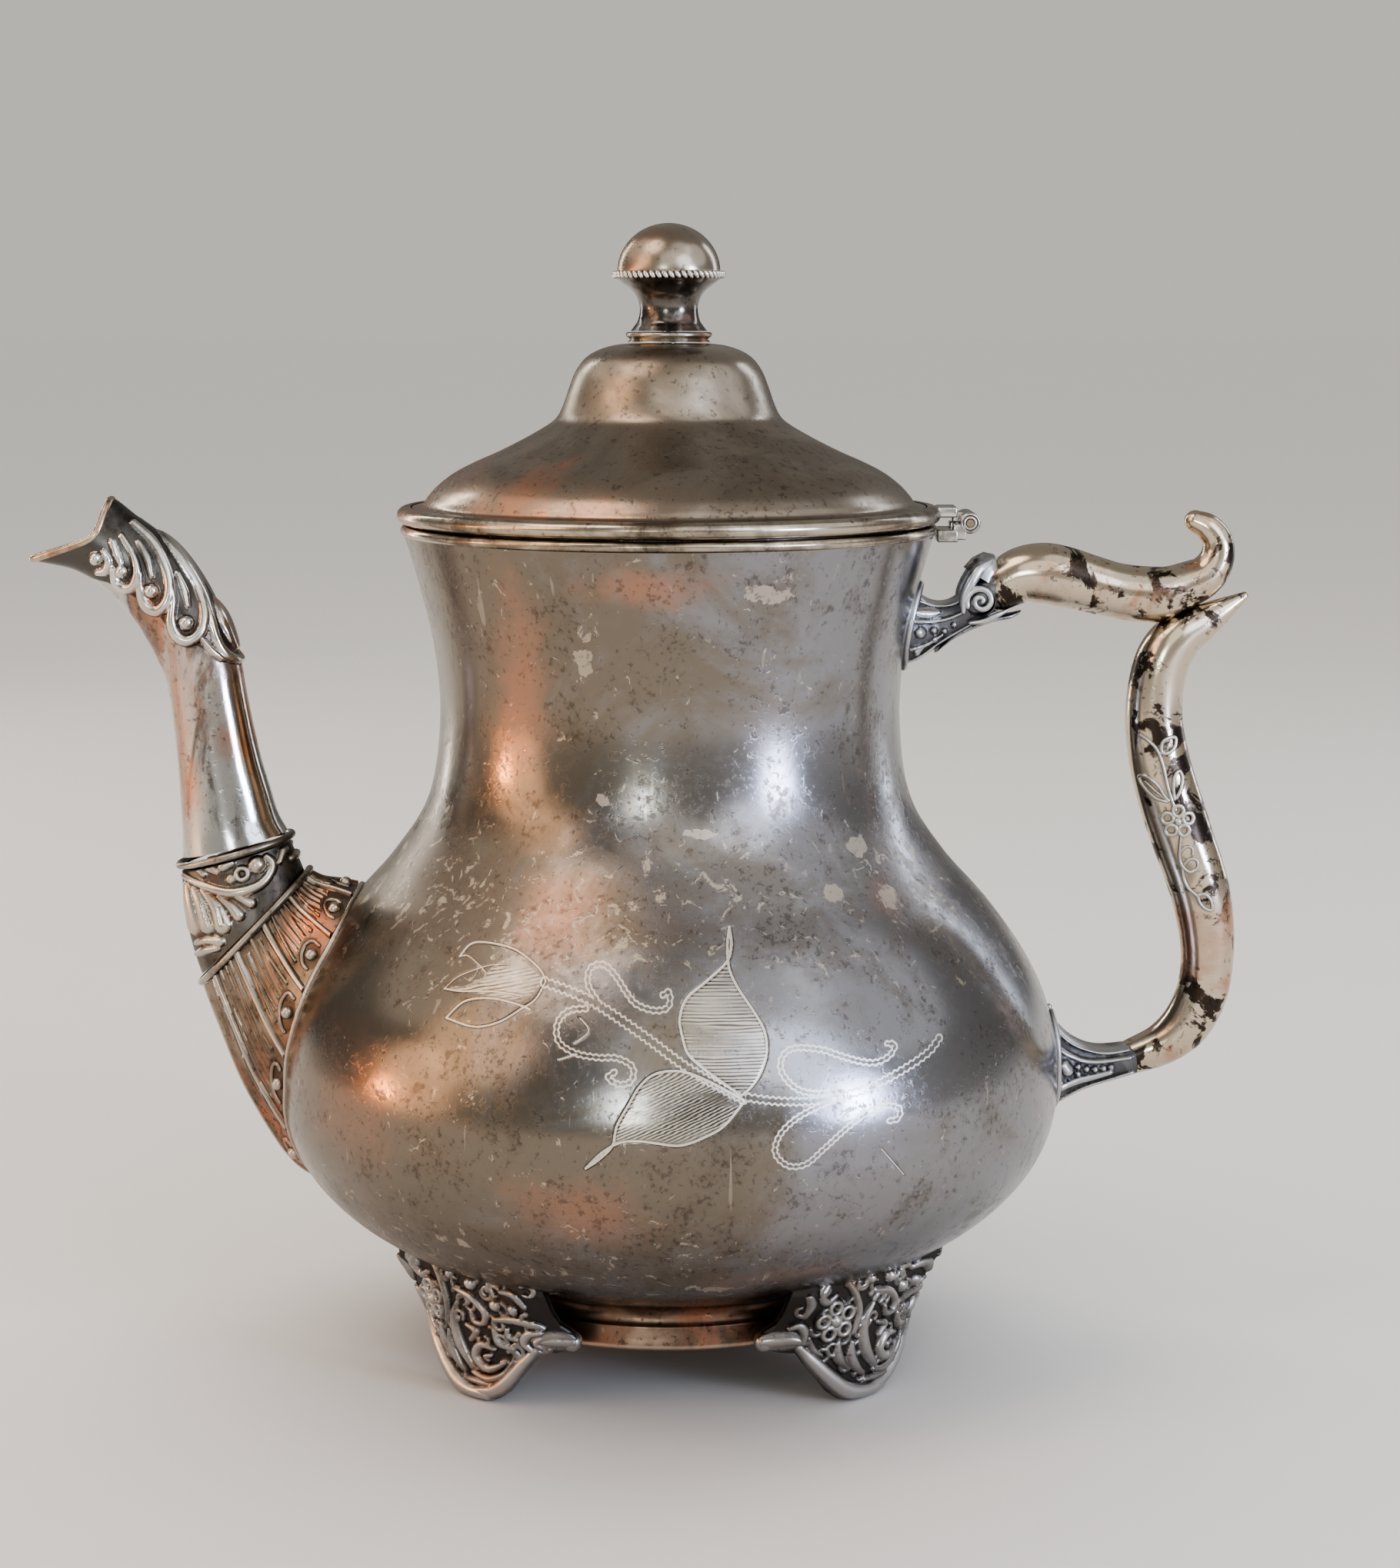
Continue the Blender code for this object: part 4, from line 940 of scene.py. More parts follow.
def skirt_relief(points, angle):
    """Ridges between the panels, fine stripes inside them, and a border where the skirt meets the body."""
    steps = np.linalg.norm(np.diff(points, axis=0), axis=-1)
    from_body = np.vstack([np.zeros(points.shape[1]), np.cumsum(steps, axis=0)])
    centre = points.mean(axis=1, keepdims=True)
    girth = np.linalg.norm(points - centre, axis=-1)
    panel = angle / (2 * math.pi) * PANELS + 0.5
    across = (panel - np.floor(panel) - 0.5) * 2 * math.pi / PANELS * girth
    half = math.pi / PANELS * girth
    ridge = 0.8 * np.clip(1 - ((half - np.abs(across)) / 0.75) ** 2, 0, 1) ** 0.7
    inner = 0.45 * np.clip(1 - ((half - 2.0 - np.abs(across)) / 0.4) ** 2, 0, 1) ** 0.7 * (half > 3.4)
    stripes = 0.28 * np.clip(np.cos(across * 2 * math.pi / 1.5), 0, 1) * (np.abs(across) < half - 2.2)
    along = from_body - BEAD_SETBACK
    hoop = np.hypot(across * 2.9 / np.minimum(2.9, half - 0.6), along)
    border = 0.8 * np.clip(1 - ((from_body - 0.6) / 0.8) ** 2, 0, 1) ** 0.7
    plain = from_body > BEAD_SETBACK + 2.2
    height = np.maximum.reduce([ridge * (from_body > 1.5), inner * plain, stripes * (hoop > 3.4) * plain,
                                border])
    # painted shade: the ground between the stripes a little darker, and the scallop round each bead darker
    # still
    ground = np.where(hoop > 3.2, height * 1.5 - 0.12, -0.3)
    tone = np.where(height > 0.4, np.clip(height * 1.2, 0, 1), ground)
    return height, tone


skirt = loft_shape(skirt_surface, skirt_start, SKIRT_ROWS, SKIRT_COLUMNS, skirt_relief)
skirt_outside = skirt.points[0].reshape(-1, SKIRT_COLUMNS, 3)[:SKIRT_ROWS]
skirt_steps = np.linalg.norm(np.diff(skirt_outside, axis=0), axis=-1)
skirt_walked = np.vstack([np.zeros(SKIRT_COLUMNS), np.cumsum(skirt_steps, axis=0)])


def on_skirt(panel, across, along):
    """Point of the skirt's surface, from the middle of a panel's foot."""
    middle = skirt_outside[:, round(panel * SKIRT_COLUMNS / PANELS) % SKIRT_COLUMNS]
    girth = np.linalg.norm(middle[30] - skirt_outside[30].mean(axis=0))
    column = round((panel / PANELS + across / girth / (2 * math.pi)) * SKIRT_COLUMNS) % SKIRT_COLUMNS
    walked = skirt_walked[:, column]
    return np.array([np.interp(along, walked, skirt_outside[:, column, k]) for k in range(3)])


for panel in range(PANELS):
    skirt.add(ball(on_skirt(panel, 0.0, BEAD_SETBACK), 1.4, 12, 20), relief=0.9)
    bend = np.radians(np.linspace(-105, 105, 15))
    hoop = [on_skirt(panel, 2.7 * math.sin(a), BEAD_SETBACK + 2.7 * math.cos(a)) for a in bend]
    skirt.bar(hoop, 0.5, (0, 1, 0), 8, 0.6)
skirt.make("spout_skirt_fine", SKIRT_METAL, "copper_tarnish")

COLLAR_STROKES = [
    (1.1, [(-101.5, 101.4, 0.7), (-97.3, 100.1, 0.8), (-92.4, 98.9, 0.9), (-88.8, 99.1, 0.95),
           (-85.3, 100.3, 0.9), (-83.3, 102.6, 0.8), (-83.0, 104.6, 0.7), (-84.2, 106.1, 0.5)]),
    (1.5, [(-85.9, 104.4, 1.6)]), (1.2, circle(-88.9, 102.7, 1.2, 0.55)), (0.9, [(-91.2, 101.6, 1.0)]),
    (1.0, [(-92.9, 104.2, 1.0), (-91.2, 104.9, 0.8)]), (0.9, [(-95.8, 103.9, 1.0), (-94.2, 103.0, 0.7)]),
    (1.0, [(-98.4, 103.6, 0.7), (-97.0, 102.4, 0.6)]),
    (1.2, [(-101.4, 99.6, 0.5), (-100.6, 95.6, 1.2), (-99.6, 90.8, 1.5)]),
    (1.3, [(-99.6, 99.2, 0.5), (-97.6, 95.4, 1.2), (-96.4, 91.6, 1.6)]),
    (1.4, [(-97.4, 99.0, 0.5), (-94.4, 95.6, 1.2), (-93.0, 92.0, 1.7)]),
    (1.2, [(-93.9, 97.9, 0.4), (-91.2, 96.0, 0.9), (-89.6, 94.2, 1.2)]),
    (1.1, [(-90.2, 97.9, 0.4), (-88.4, 97.3, 0.8), (-87.0, 96.7, 1.0)]),
    (1.1, [(-99.0, 87.4, 0.6), (-96.4, 88.6, 0.9), (-93.6, 88.4, 0.9)]),
    (1.1, [(-99.4, 84.8, 0.5), (-96.6, 86.4, 0.9), (-94.0, 87.0, 0.6)]),
    (0.9, [(-81.0, 106.8, 0.7), (-81.6, 104.6, 0.5)]), (0.9, [(-78.9, 105.2, 0.8)]),
    (-0.5, [(-97.0, 96.0, 0.25), (-95.4, 92.0, 0.25)]), (-0.5, [(-93.6, 95.6, 0.25), (-92.6, 92.4, 0.3)]),
]
collar_relief = side_relief(widened(COLLAR_STROKES, 1.25), -0.32)
spout_collar = loft_shape(lofted(COLLAR), 0.0, 90, 300, collar_relief)
spout_collar.make("spout_collar_fine", CASTING_METAL, "dark_casting")
loft_shape(lofted(TUBE), 0.0, 90, 96).make("spout_tube_fine", TUBE_METAL, "bright_plate")

for name, (x, z, slope, half_length, half_width) in {
        "spout_ring_lower": (-87.75, 89.9, 46, 16.7, 13.0),
        "spout_ring_upper": (-91.6, 106.3, 15, 12.3, 10.3)}.items():
    turn = np.linspace(0, 2 * math.pi, 120, endpoint=False)
    reach = half_length * np.cos(turn)
    along, rise = math.cos(math.radians(slope)), math.sin(math.radians(slope))
    hoop = np.stack([x + reach * along, half_width * np.sin(turn), z + reach * rise], axis=1)
    wire = Shape().add(sweep(hoop, 0.75, (-rise, 0, along), 14, closed=True), wrap_rows=True, relief=0.5)
    wire.make(name + "_fine", CASTING_METAL, "dark_casting")

BEAK_STROKES = [
    (1.5, [(-118.1, 168.1, 1.45)]), (1.6, [(-112.7, 165.5, 1.55)]), (1.6, [(-106.6, 161.5, 1.65)]),
    (1.6, [(-99.6, 154.9, 1.65)]),
    (0.9, [(-116.4, 169.6, 0.4), (-115.5, 167.6, 0.6), (-116.2, 165.6, 0.7), (-118.0, 165.2, 0.5)]),
    (1.1, [(-112.8, 172.8, 0.4), (-110.4, 169.0, 0.5), (-109.5, 165.6, 0.7), (-110.3, 162.7, 0.8),
           (-112.3, 161.9, 0.8), (-114.2, 163.2, 0.7), (-114.6, 165.8, 0.5)]),
    (1.1, [(-110.8, 175.3, 0.4), (-106.6, 171.4, 0.6), (-103.8, 166.2, 0.7), (-103.0, 162.0, 0.8),
           (-103.8, 158.9, 0.9), (-105.8, 157.4, 0.9), (-108.0, 158.6, 0.9), (-109.0, 161.6, 0.7),
           (-108.9, 165.0, 0.5)]),
    (1.1, [(-101.9, 168.6, 0.4), (-98.5, 163.6, 0.5), (-96.6, 159.0, 0.6), (-96.1, 155.2, 0.8),
           (-97.3, 152.3, 0.9), (-99.6, 151.2, 0.9), (-101.7, 152.4, 0.9), (-102.7, 155.4, 0.8),
           (-102.3, 160.2, 0.6), (-103.2, 164.6, 0.4)]),
    (1.0, [(-108.8, 176.6, 0.5), (-104.6, 172.8, 0.8), (-100.6, 167.2, 0.8), (-97.0, 161.0, 0.7),
           (-95.0, 155.6, 0.7), (-93.4, 150.4, 0.8), (-91.4, 147.6, 0.8), (-88.8, 146.2, 0.5)]),
    (0.8, [(-103.6, 174.8, 0.4), (-98.6, 168.8, 0.7), (-95.0, 161.6, 0.7), (-92.4, 154.6, 0.7),
           (-90.2, 149.2, 0.4)]),
    (0.8, [(-99.6, 171.4, 0.4), (-95.4, 165.4, 0.6), (-92.2, 158.6, 0.6), (-90.0, 152.4, 0.4)]),
    (0.7, [(-114.6, 171.6, 0.6), (-113.4, 168.4, 0.7), (-112.8, 167.0, 0.4)]),
    (0.7, [(-109.4, 171.4, 0.5), (-107.4, 168.0, 0.8), (-106.6, 164.6, 0.5)]),
    (0.7, [(-101.6, 165.0, 0.4), (-100.1, 161.4, 0.7), (-99.4, 158.4, 0.5)]),
    (0.9, [(-96.6, 151.6, 0.5), (-94.6, 149.0, 0.7), (-92.6, 147.2, 0.5)]),
]
# the beads as they are, the loops round them widened most
BEAK_ORNAMENT = BEAK_STROKES[:4] + widened(BEAK_STROKES[4:8], 1.45) + widened(BEAK_STROKES[8:], 1.2)
# lower edge of the ornament's ground darkened with painted shade, as x and z
BEAK_EDGE = ((-122, -116, -110, -105, -101, -97, -93, -88), (164, 163, 160, 156, 150.6, 150, 146.6, 145))


def beak_relief(points, angle):
    """The cast ornament, with painted shade darkening its ground only inside its outline, fading into the
    plain tube below it.
    """
    x, z = points[..., 0], points[..., 2]
    raised = carve(x, z, BEAK_ORNAMENT)[0]
    ground = np.where(z > np.interp(x, *BEAK_EDGE), -0.42, 0.0)
    return raised, np.where(raised > 0.12, np.clip(raised, 0, 1), ground)


beak_surface = lofted(BEAK)
beak_shape = loft_shape(beak_surface, 0.0, 190, 260, beak_relief)
beak = beak_shape.make("spout_beak_fine", BEAK_METAL, "dark_casting")


# the cut over the pouring lip, as (x, z) corners in the side view
MOUTH = smooth([(-112.8, 188.0), (-114.9, 182.4), (-116.2, 178.4), (-117.2, 175.0), (-118.6, 172.4),
                (-122.4, 170.7), (-127.4, 169.1), (-134.8, 166.9)], 5).tolist()
MOUTH += [[-146.0, 176.0], [-125.0, 196.0]]


def beak_mouth():
    """Prism that cuts the mouth."""
    builder = bmesh.new()
    rings = [[builder.verts.new(((x + AXIS_X) * MM, y * MM, z * MM)) for x, z in MOUTH] for y in (-14, 14)]
    builder.faces.new(rings[0])
    builder.faces.new(reversed(rings[1]))
    for index in range(len(MOUTH)):
        following = (index + 1) % len(MOUTH)
        builder.faces.new((rings[0][index], rings[1][index], rings[1][following], rings[0][following]))
    bmesh.ops.recalc_face_normals(builder, faces=builder.faces)
    mesh = bpy.data.meshes.new("mouth_cut")
    builder.to_mesh(mesh)
    builder.free()
    return bpy.data.objects.new("mouth_cut", mesh)


def cut_away(piece, cutter):
    """Take a cutter's volume out of a piece for good."""
    bpy.context.scene.collection.objects.link(cutter)
    modifier = piece.modifiers.new("cut", "BOOLEAN")
    modifier.object = cutter
    modifier.solver = "EXACT"
    bpy.context.view_layer.update()
    cut = bpy.data.meshes.new_from_object(piece.evaluated_get(bpy.context.evaluated_depsgraph_get()))
    piece.modifiers.clear()
    piece.data = cut
    bpy.data.objects.remove(cutter, do_unlink=True)


cut_away(beak, beak_mouth())

# rolled lip round the mouth
lip_angle = np.linspace(0, 2 * math.pi, 160, endpoint=False)
lip_share = np.linspace(0, 1, 500)[:, None]
on_beak = beak_surface(lip_share + 0 * lip_angle, lip_angle, 0.5)
gone = inside(np.array(MOUTH), on_beak[..., 0], on_beak[..., 2])
first_gone = np.where(gone.any(axis=0), gone.argmax(axis=0), len(lip_share) - 1)
lip = on_beak[first_gone, np.arange(len(lip_angle))]
lip = np.stack([np.convolve(np.concatenate([column[-2:], column, column[:2]]), np.ones(5) / 5, "valid")
                for column in lip.T], axis=1)
Shape().add(sweep(lip, 0.8, (1, 0.3, 1), 12, closed=True), wrap_rows=True, relief=0.5).make(
    "spout_beak_lip", LIP_METAL, "dark_casting", stands_for="spout_beak")


# ---------------------------------------------------------------- handle

UPPER_ARM = [(69.0, 161.9, 5.1), (73.3, 164.1, 5.9), (77.8, 164.5, 6.4), (82.3, 163.7, 6.4),
             (87.5, 162.4, 6.0), (92.8, 161.0, 5.8), (98.0, 160.2, 5.9), (103.0, 160.3, 5.7),
             (107.5, 162.0, 4.9), (111.8, 164.2, 4.3), (114.0, 167.8, 3.6), (113.9, 171.4, 3.2),
             (111.8, 174.1, 2.9), (109.3, 175.4, 2.3)]
LOWER_ARM = [(119.9, 159.8, 0.9), (115.4, 156.9, 2.6), (110.6, 153.9, 4.1), (106.4, 151.2, 5.2),
             (103.4, 146.9, 5.7), (101.9, 140.9, 5.8), (101.6, 133.7, 6.0), (102.7, 126.3, 6.3),
             (104.3, 120.2, 6.5), (106.3, 114.0, 6.6), (108.5, 107.8, 6.5), (110.8, 101.6, 6.4),
             (112.6, 95.4, 6.2), (113.8, 88.2, 5.8), (114.0, 81.5, 5.5), (112.9, 74.8, 5.4),
             (109.9, 68.6, 5.2), (105.0, 64.2, 4.5), (98.6, 61.4, 3.8)]

# painted shade on the lower arm round the sprig that is soldered to it
SPRIG_SHADE = [
    (-1.0, [(98.2, 131.2, 0.9), (101.5, 128.2, 1.0), (103.7, 121.0, 1.1), (105.6, 115.6, 1.2)]),
    (-1.0, [(106.1, 113.2, 4.2)]), (-1.0, [(104.2, 129.2, 1.7)]),
    (-1.0, [(106.9, 110.6, 1.0), (106.7, 105.6, 1.2), (108.9, 102.5, 1.8), (108.8, 98.9, 1.0),
            (111.5, 96.4, 1.8), (113.4, 95.0, 1.2)]),
    (-1.0, [(99.4, 121.6, 1.3), (103.0, 118.4, 1.1)]), (-1.0, [(106.2, 121.6, 1.1), (105.4, 118.4, 0.9)]),
]
for name, keys in (("handle_upper_arm", UPPER_ARM), ("handle_lower_arm", LOWER_ARM)):
    curve = smooth(keys, 18)
    path = np.stack([curve[:, 0], 0 * curve[:, 0], curve[:, 1]], axis=1)
    grid = sweep(*rounded(path, curve[:, 2]), sides=84)
    # painted shade round the sprig, carried by the arm's relief
    sprig_shade = carve(grid[..., 0], grid[..., 2], SPRIG_SHADE)[1]
    Shape().add(grid, relief=-0.27 * sprig_shade).make(name + "_fine", ARM_METAL, "worn_plate")


def between(bottom, top, half_widths):
    """Sections of a casting that lies between two curves of the side view, from the body outwards."""
    share = np.linspace(0, 1, 60)

    def spaced(keys):
        curve = smooth(keys, 10)
        place = np.linspace(0, 1, len(curve))
        return np.stack([np.interp(share, place, column) for column in curve.T], axis=1)

    low, high = spaced(bottom), spaced(top)
    reach = high - low
    width = np.interp(share, np.linspace(0, 1, len(half_widths)), half_widths)
    centre = (low + high) / 2
    return np.column_stack([centre, np.degrees(np.arctan2(reach[:, 1], reach[:, 0])),
                            np.hypot(reach[:, 0], reach[:, 1]) / 2, width])


# how far under the body's surface a casting's foot ends
FOOT_DEPTH = 0.6


def casting(sections, strokes, rows=90, columns=180, fullness=0.8):
    """A solid casting on its sections, closed at both ends, with relief drawn on its side view.

    Its foot ends within the body's wall, so that nothing shows inside the pot.
    """
    steps = np.linspace(0, 1, len(sections))
    angle = full_turn(columns)
    share = np.linspace(0, 1, rows)[:, None] + 0 * angle
    x, z, slope, length, width = (np.interp(share, steps, column) for column in np.asarray(sections, float).T)
    slope = np.radians(slope)
    lift = length * np.cos(angle)
    out = width * np.sign(np.sin(angle)) * np.abs(np.sin(angle)) ** fullness
    grid = np.stack([x + lift * np.cos(slope), out, z + lift * np.sin(slope)], axis=-1)
    raised, sunk = carve(grid[..., 0], grid[..., 2], strokes)
    facing = np.abs(grid_normals(grid)[..., 1])
    grid[..., 1] += np.sign(grid[..., 1]) * (raised - sunk) * np.clip(facing * 1.6, 0, 1)
    # painted shade: the ground between the raised strokes and the cut strokes are darkened
    tone = np.where(raised > 0.12, np.clip(raised, 0, 1), -0.3) - sunk
    first, last = (grid[row].mean(axis=0) + np.zeros((1, columns, 3)) for row in (0, -1))
    grid = np.concatenate([first, grid, last])
    # painted shade on the closed ends
    edge = np.full((1, columns), -0.3)
    wall = body_radius(grid[..., 2]) - FOOT_DEPTH
    grid[..., 0] = np.maximum(grid[..., 0], np.sqrt(np.maximum(wall ** 2 - grid[..., 1] ** 2, 0)))
    return Shape().add(grid, relief=np.vstack([edge, tone, edge]))


def side_bar(shape, keys, depth, sides=12, relief=0.8):
    """Add a bar on both sides of a casting from keys (x, z, radius).

    Depth is its distances from the middle, at even steps along it.
    """
    curve = smooth(keys, 6)
    depth = np.interp(np.linspace(0, 1, len(curve)), np.linspace(0, 1, len(depth)), depth)
    for side in (-1, 1):
        path = np.stack([curve[:, 0], side * depth, curve[:, 1]], axis=1)
        shape.bar(path, curve[:, 2], (0, 1, 0), sides, relief)


def soldered_rim(shape, heights, middle, half_height, half_width, ease, radius):
    """Add a bowed bar on each side of a bracket's foot, where it is soldered to the body."""
    for side in (-1, 1):
        rim = []
        for z in heights:
            spread = half_width * math.sqrt(max(0.0, 1 - ((z - middle) / half_height) ** 2)) + ease
            rim.append((math.sqrt(body_radius(z) ** 2 - spread ** 2) + 0.4, side * spread, z))
        shape.bar(smooth(rim, 4), radius, relief=0.7)


# upper bracket: a fan against the body, a volute at the arm's end, and leaves over and under the arm
FAN_STROKES = [
    (1.2, [(49.4, 145.6, 0.8), (52.6, 147.2, 0.8), (55.8, 149.6, 0.8), (58.9, 151.6, 0.8),
           (62.6, 153.7, 0.7)]),
    (0.9, [(49.9, 149.2, 0.5), (53.2, 150.0, 0.5), (56.6, 152.0, 0.4)]),
    (1.1, [(51.6, 160.0, 0.8), (53.9, 158.9, 0.8), (56.4, 158.5, 0.8), (59.2, 159.0, 0.8),
           (61.4, 160.6, 0.6)]),
    (0.9, [(50.6, 155.2, 0.5), (53.8, 154.9, 0.5), (57.6, 155.5, 0.5), (60.6, 156.7, 0.4)]),
    (1.4, [(51.3, 157.0, 0.7), (53.5, 156.8, 1.3), (55.9, 156.9, 0.6)]),
    (1.3, [(52.1, 152.7, 1.3)]), (1.2, [(54.9, 153.1, 0.85)]), (1.2, [(55.2, 151.1, 0.85)]),
    (1.2, [(57.1, 152.9, 0.75)]), (1.1, [(59.1, 154.2, 0.7)]),
    (1.0, [(51.4, 148.4, 0.8), (52.6, 149.6, 0.5)]),
]
fan = between([(45.5, 143.8), (49.9, 145.7), (52.4, 146.6), (55.8, 149.0), (58.9, 151.0), (62.9, 153.5),
               (66.8, 156.0)],
              [(47.5, 165.0), (50.6, 162.4), (53.0, 159.9), (56.0, 158.9), (59.2, 159.7), (63.6, 163.4),
               (68.2, 166.2)], [8.0, 7.0, 5.6, 4.7, 4.4, 4.8, 5.0])
upper = casting(fan, FAN_STROKES)
# the volute's drum, with painted shade on its ends
upper.add(sweep([(64.5, -5.1, 159.2), (64.5, -5.1, 159.2), (64.5, -4.8, 159.2), (64.5, 4.8, 159.2),
                 (64.5, 5.1, 159.2), (64.5, 5.1, 159.2)], [0.05, 3.0, 3.3, 3.3, 3.0, 0.05], (0, 0, 1), 48),
          relief=[[-0.3], [-0.3], [0.2], [0.2], [-0.3], [-0.3]])
side_bar(upper, spiral(64.5, 159.2, 3.0, 0.3, -160, -1.6, 0.8, 0.5, 30), [5.0, 5.2, 5.4, 5.7], relief=0.9)
side_bar(upper, [(60.9, 157.0, 0.6), (61.0, 160.0, 1.0), (62.4, 163.0, 1.3), (64.2, 165.6, 1.3),
                 (66.4, 167.0, 0.8)], [5.0, 4.9, 4.6, 3.8, 2.6])
side_bar(upper, [(62.4, 154.6, 0.4), (65.2, 155.0, 0.6), (68.0, 156.2, 0.6), (70.2, 157.2, 0.3)],
         [4.4, 4.6, 4.2, 3.6], 10)
# the leaf cupped round the arm's top
upper.add(sweep([(65.0, 0, 163.6), (66.2, 0, 165.6), (67.4, 0, 167.0), (68.2, 0, 167.6)],
                [4.4, 3.9, 2.9, 1.2], (0, 1, 0), 28), relief=0.2)
leaf_under = between([(55.4, 148.0), (58.9, 150.6), (62.9, 152.6), (67.4, 154.3), (71.4, 155.1),
                      (73.2, 156.3)],
                     [(57.4, 150.6), (60.0, 152.8), (63.4, 154.6), (67.4, 155.8), (71.0, 156.4),
                      (73.4, 156.9)],
                     [4.4, 4.2, 3.8, 3.0, 2.0, 0.4])
leaf = casting(leaf_under, [], 40, 40, 1.0)
upper.points += leaf.points
upper.faces += [part + upper.count for part in leaf.faces]
upper.relief += [np.full(part.shape, 0.35) for part in leaf.relief]
upper.count += leaf.count
soldered_rim(upper, np.linspace(145.2, 162.4, 12), 153.8, 9.2, 6.6, 0.4, 0.75)
upper.make("handle_upper_bracket_fine", PEWTER_METAL, "pewter_casting")

# lower bracket: ribs that sweep together from the body to the arm, with a row of beads between them
RIB_STROKES = [
    (1.1, [(80.5, 71.6, 0.6), (82.4, 68.4, 0.75), (85.5, 65.4, 0.8), (89.3, 63.8, 0.8), (93.0, 63.3, 0.8),
           (97.1, 64.0, 0.8)]),
    (0.7, [(82.6, 69.4, 0.3), (83.8, 68.0, 0.35), (86.7, 65.3, 0.35), (90.2, 64.0, 0.3)]),
    (1.0, [(81.2, 66.4, 0.5), (82.8, 64.2, 0.6), (85.0, 62.7, 0.65), (88.1, 61.5, 0.65), (91.8, 61.4, 0.6),
           (97.6, 62.2, 0.5)]),
    (1.6, [(83.6, 60.9, 1.2), (84.3, 59.7, 1.4)]), (1.2, [(86.5, 60.4, 0.75)]), (1.2, [(86.5, 58.8, 0.75)]),
    (1.2, [(88.3, 59.8, 0.8)]), (1.2, [(90.1, 59.7, 0.8)]), (1.2, [(91.9, 59.9, 0.75)]),
    (1.2, [(93.5, 60.1, 0.75)]),
    (1.1, [(83.2, 56.0, 0.9), (86.6, 57.2, 1.0), (89.7, 57.9, 0.9), (93.4, 58.9, 0.7)]),
    (1.0, [(82.6, 52.2, 0.7), (85.5, 53.7, 0.8), (88.9, 55.3, 0.8), (93.8, 56.9, 0.8), (98.1, 58.4, 0.7)]),
    (0.9, [(81.4, 60.6, 0.5), (82.2, 57.6, 0.5), (81.8, 55.0, 0.4)]),
]
sweep_in = between([(78.0, 49.6), (82.6, 51.6), (85.5, 53.1), (88.9, 54.7), (93.8, 56.3), (99.4, 58.0)],
                   [(78.0, 75.5), (80.6, 72.0), (82.6, 68.8), (86.0, 65.7), (91.0, 64.0), (98.6, 64.6)],
                   [9.0, 7.4, 6.0, 5.0, 4.5, 4.3, 4.2])
lower = casting(sweep_in, RIB_STROKES)
soldered_rim(lower, np.linspace(51.4, 71.6, 14), 61.5, 10.6, 7.4, 0.3, 0.7)
lower.make("handle_lower_bracket_fine", PEWTER_METAL, "pewter_casting")


# sprigs: fine cast wires, leaves and a flower that lie on the lower arm
arm_curve = smooth(LOWER_ARM, 10)


def on_arm(keys, lift):
    """Path on the lower arm's side through (x, z) keys."""
    points = smooth(keys, 6)
    distance = np.hypot(points[:, None, 0] - arm_curve[:, 0], points[:, None, 1] - arm_curve[:, 1])
    nearest = distance.argmin(axis=1)
    radius = arm_curve[nearest, 2]
    depth = np.sqrt(np.clip(radius ** 2 - distance.min(axis=1) ** 2, 0.3, None))
    return np.stack([points[:, 0], -(depth + lift), points[:, 1]], axis=1)


def sprig(name, side):
    """A flower sprig on one side of the lower arm; side is -1 in front and 1 at the back."""
    shape = Shape()

    def wire(*keys, radius=0.42):
        shape.bar(on_arm(keys, radius * 0.3), radius, (0, 1, 0), 10, 0.7)

    wire((98.2, 131.2), (99.9, 130.0), (101.5, 128.2), (102.8, 124.8), (103.7, 121.0), (104.7, 117.8),
         (105.6, 115.6))
    wire((102.3, 128.4), (102.6, 129.8), (104.0, 130.8), (105.4, 130.6), (105.3, 128.9), (104.2, 127.8),
         (102.8, 127.5), (102.3, 128.4))
    wire((101.9, 127.4), (102.8, 127.8))
    wire((103.8, 117.4), (101.6, 118.0), (99.6, 119.7), (98.2, 122.1), (99.4, 122.6), (101.6, 121.0),
         (103.0, 118.9), (104.0, 117.6))
    wire((103.4, 118.0), (101.4, 119.6), (99.4, 121.4), radius=0.28)
    wire((105.3, 118.0), (105.0, 120.2), (105.2, 122.4), (106.2, 123.8), (107.0, 122.2), (106.6, 120.0),
         (105.7, 118.2))
    # flower
    for petal in range(5):
        turn = math.radians(90 + 72 * petal)
        x, z = 106.1 + 2.25 * math.cos(turn), 113.2 + 2.25 * math.sin(turn)
        ring = [(x + 1.15 * math.cos(a), z + 1.15 * math.sin(a)) for a in np.linspace(0, 2 * math.pi, 10)]
        shape.bar(on_arm(ring, 0.3), 0.5, (0, 1, 0), 8, 0.8)
    centre = on_arm([(106.1, 113.2), (106.12, 113.2), (106.14, 113.2)], 0.2)[0]
    shape.add(ball(centre, 0.95), relief=0.8)
    wire((106.9, 110.6), (106.7, 108.0), (106.7, 105.6), (107.4, 103.6), (108.9, 102.5), (110.4, 103.3),
         (110.3, 104.9), (108.9, 105.3), (107.8, 104.2))
    wire((107.4, 103.0), (107.8, 100.8), (108.8, 98.9), (110.6, 97.3))
    wire((106.8, 106.6), (107.9, 107.8), (109.2, 107.6), (109.3, 106.2), radius=0.36)
    wire((110.6, 97.4), (112.0, 97.8), (113.4, 96.6), (113.8, 94.4), (112.4, 94.6), (111.2, 95.8),
         (110.6, 97.4))
    if side > 0:
        shape.points = [part * (1, -1, 1) for part in shape.points]
    shape.make(name, SPRIG_METAL, "worn_plate")


sprig("handle_sprig_front_fine", -1)
sprig("handle_sprig_back_fine", 1)


# ---------------------------------------------------------------- feet

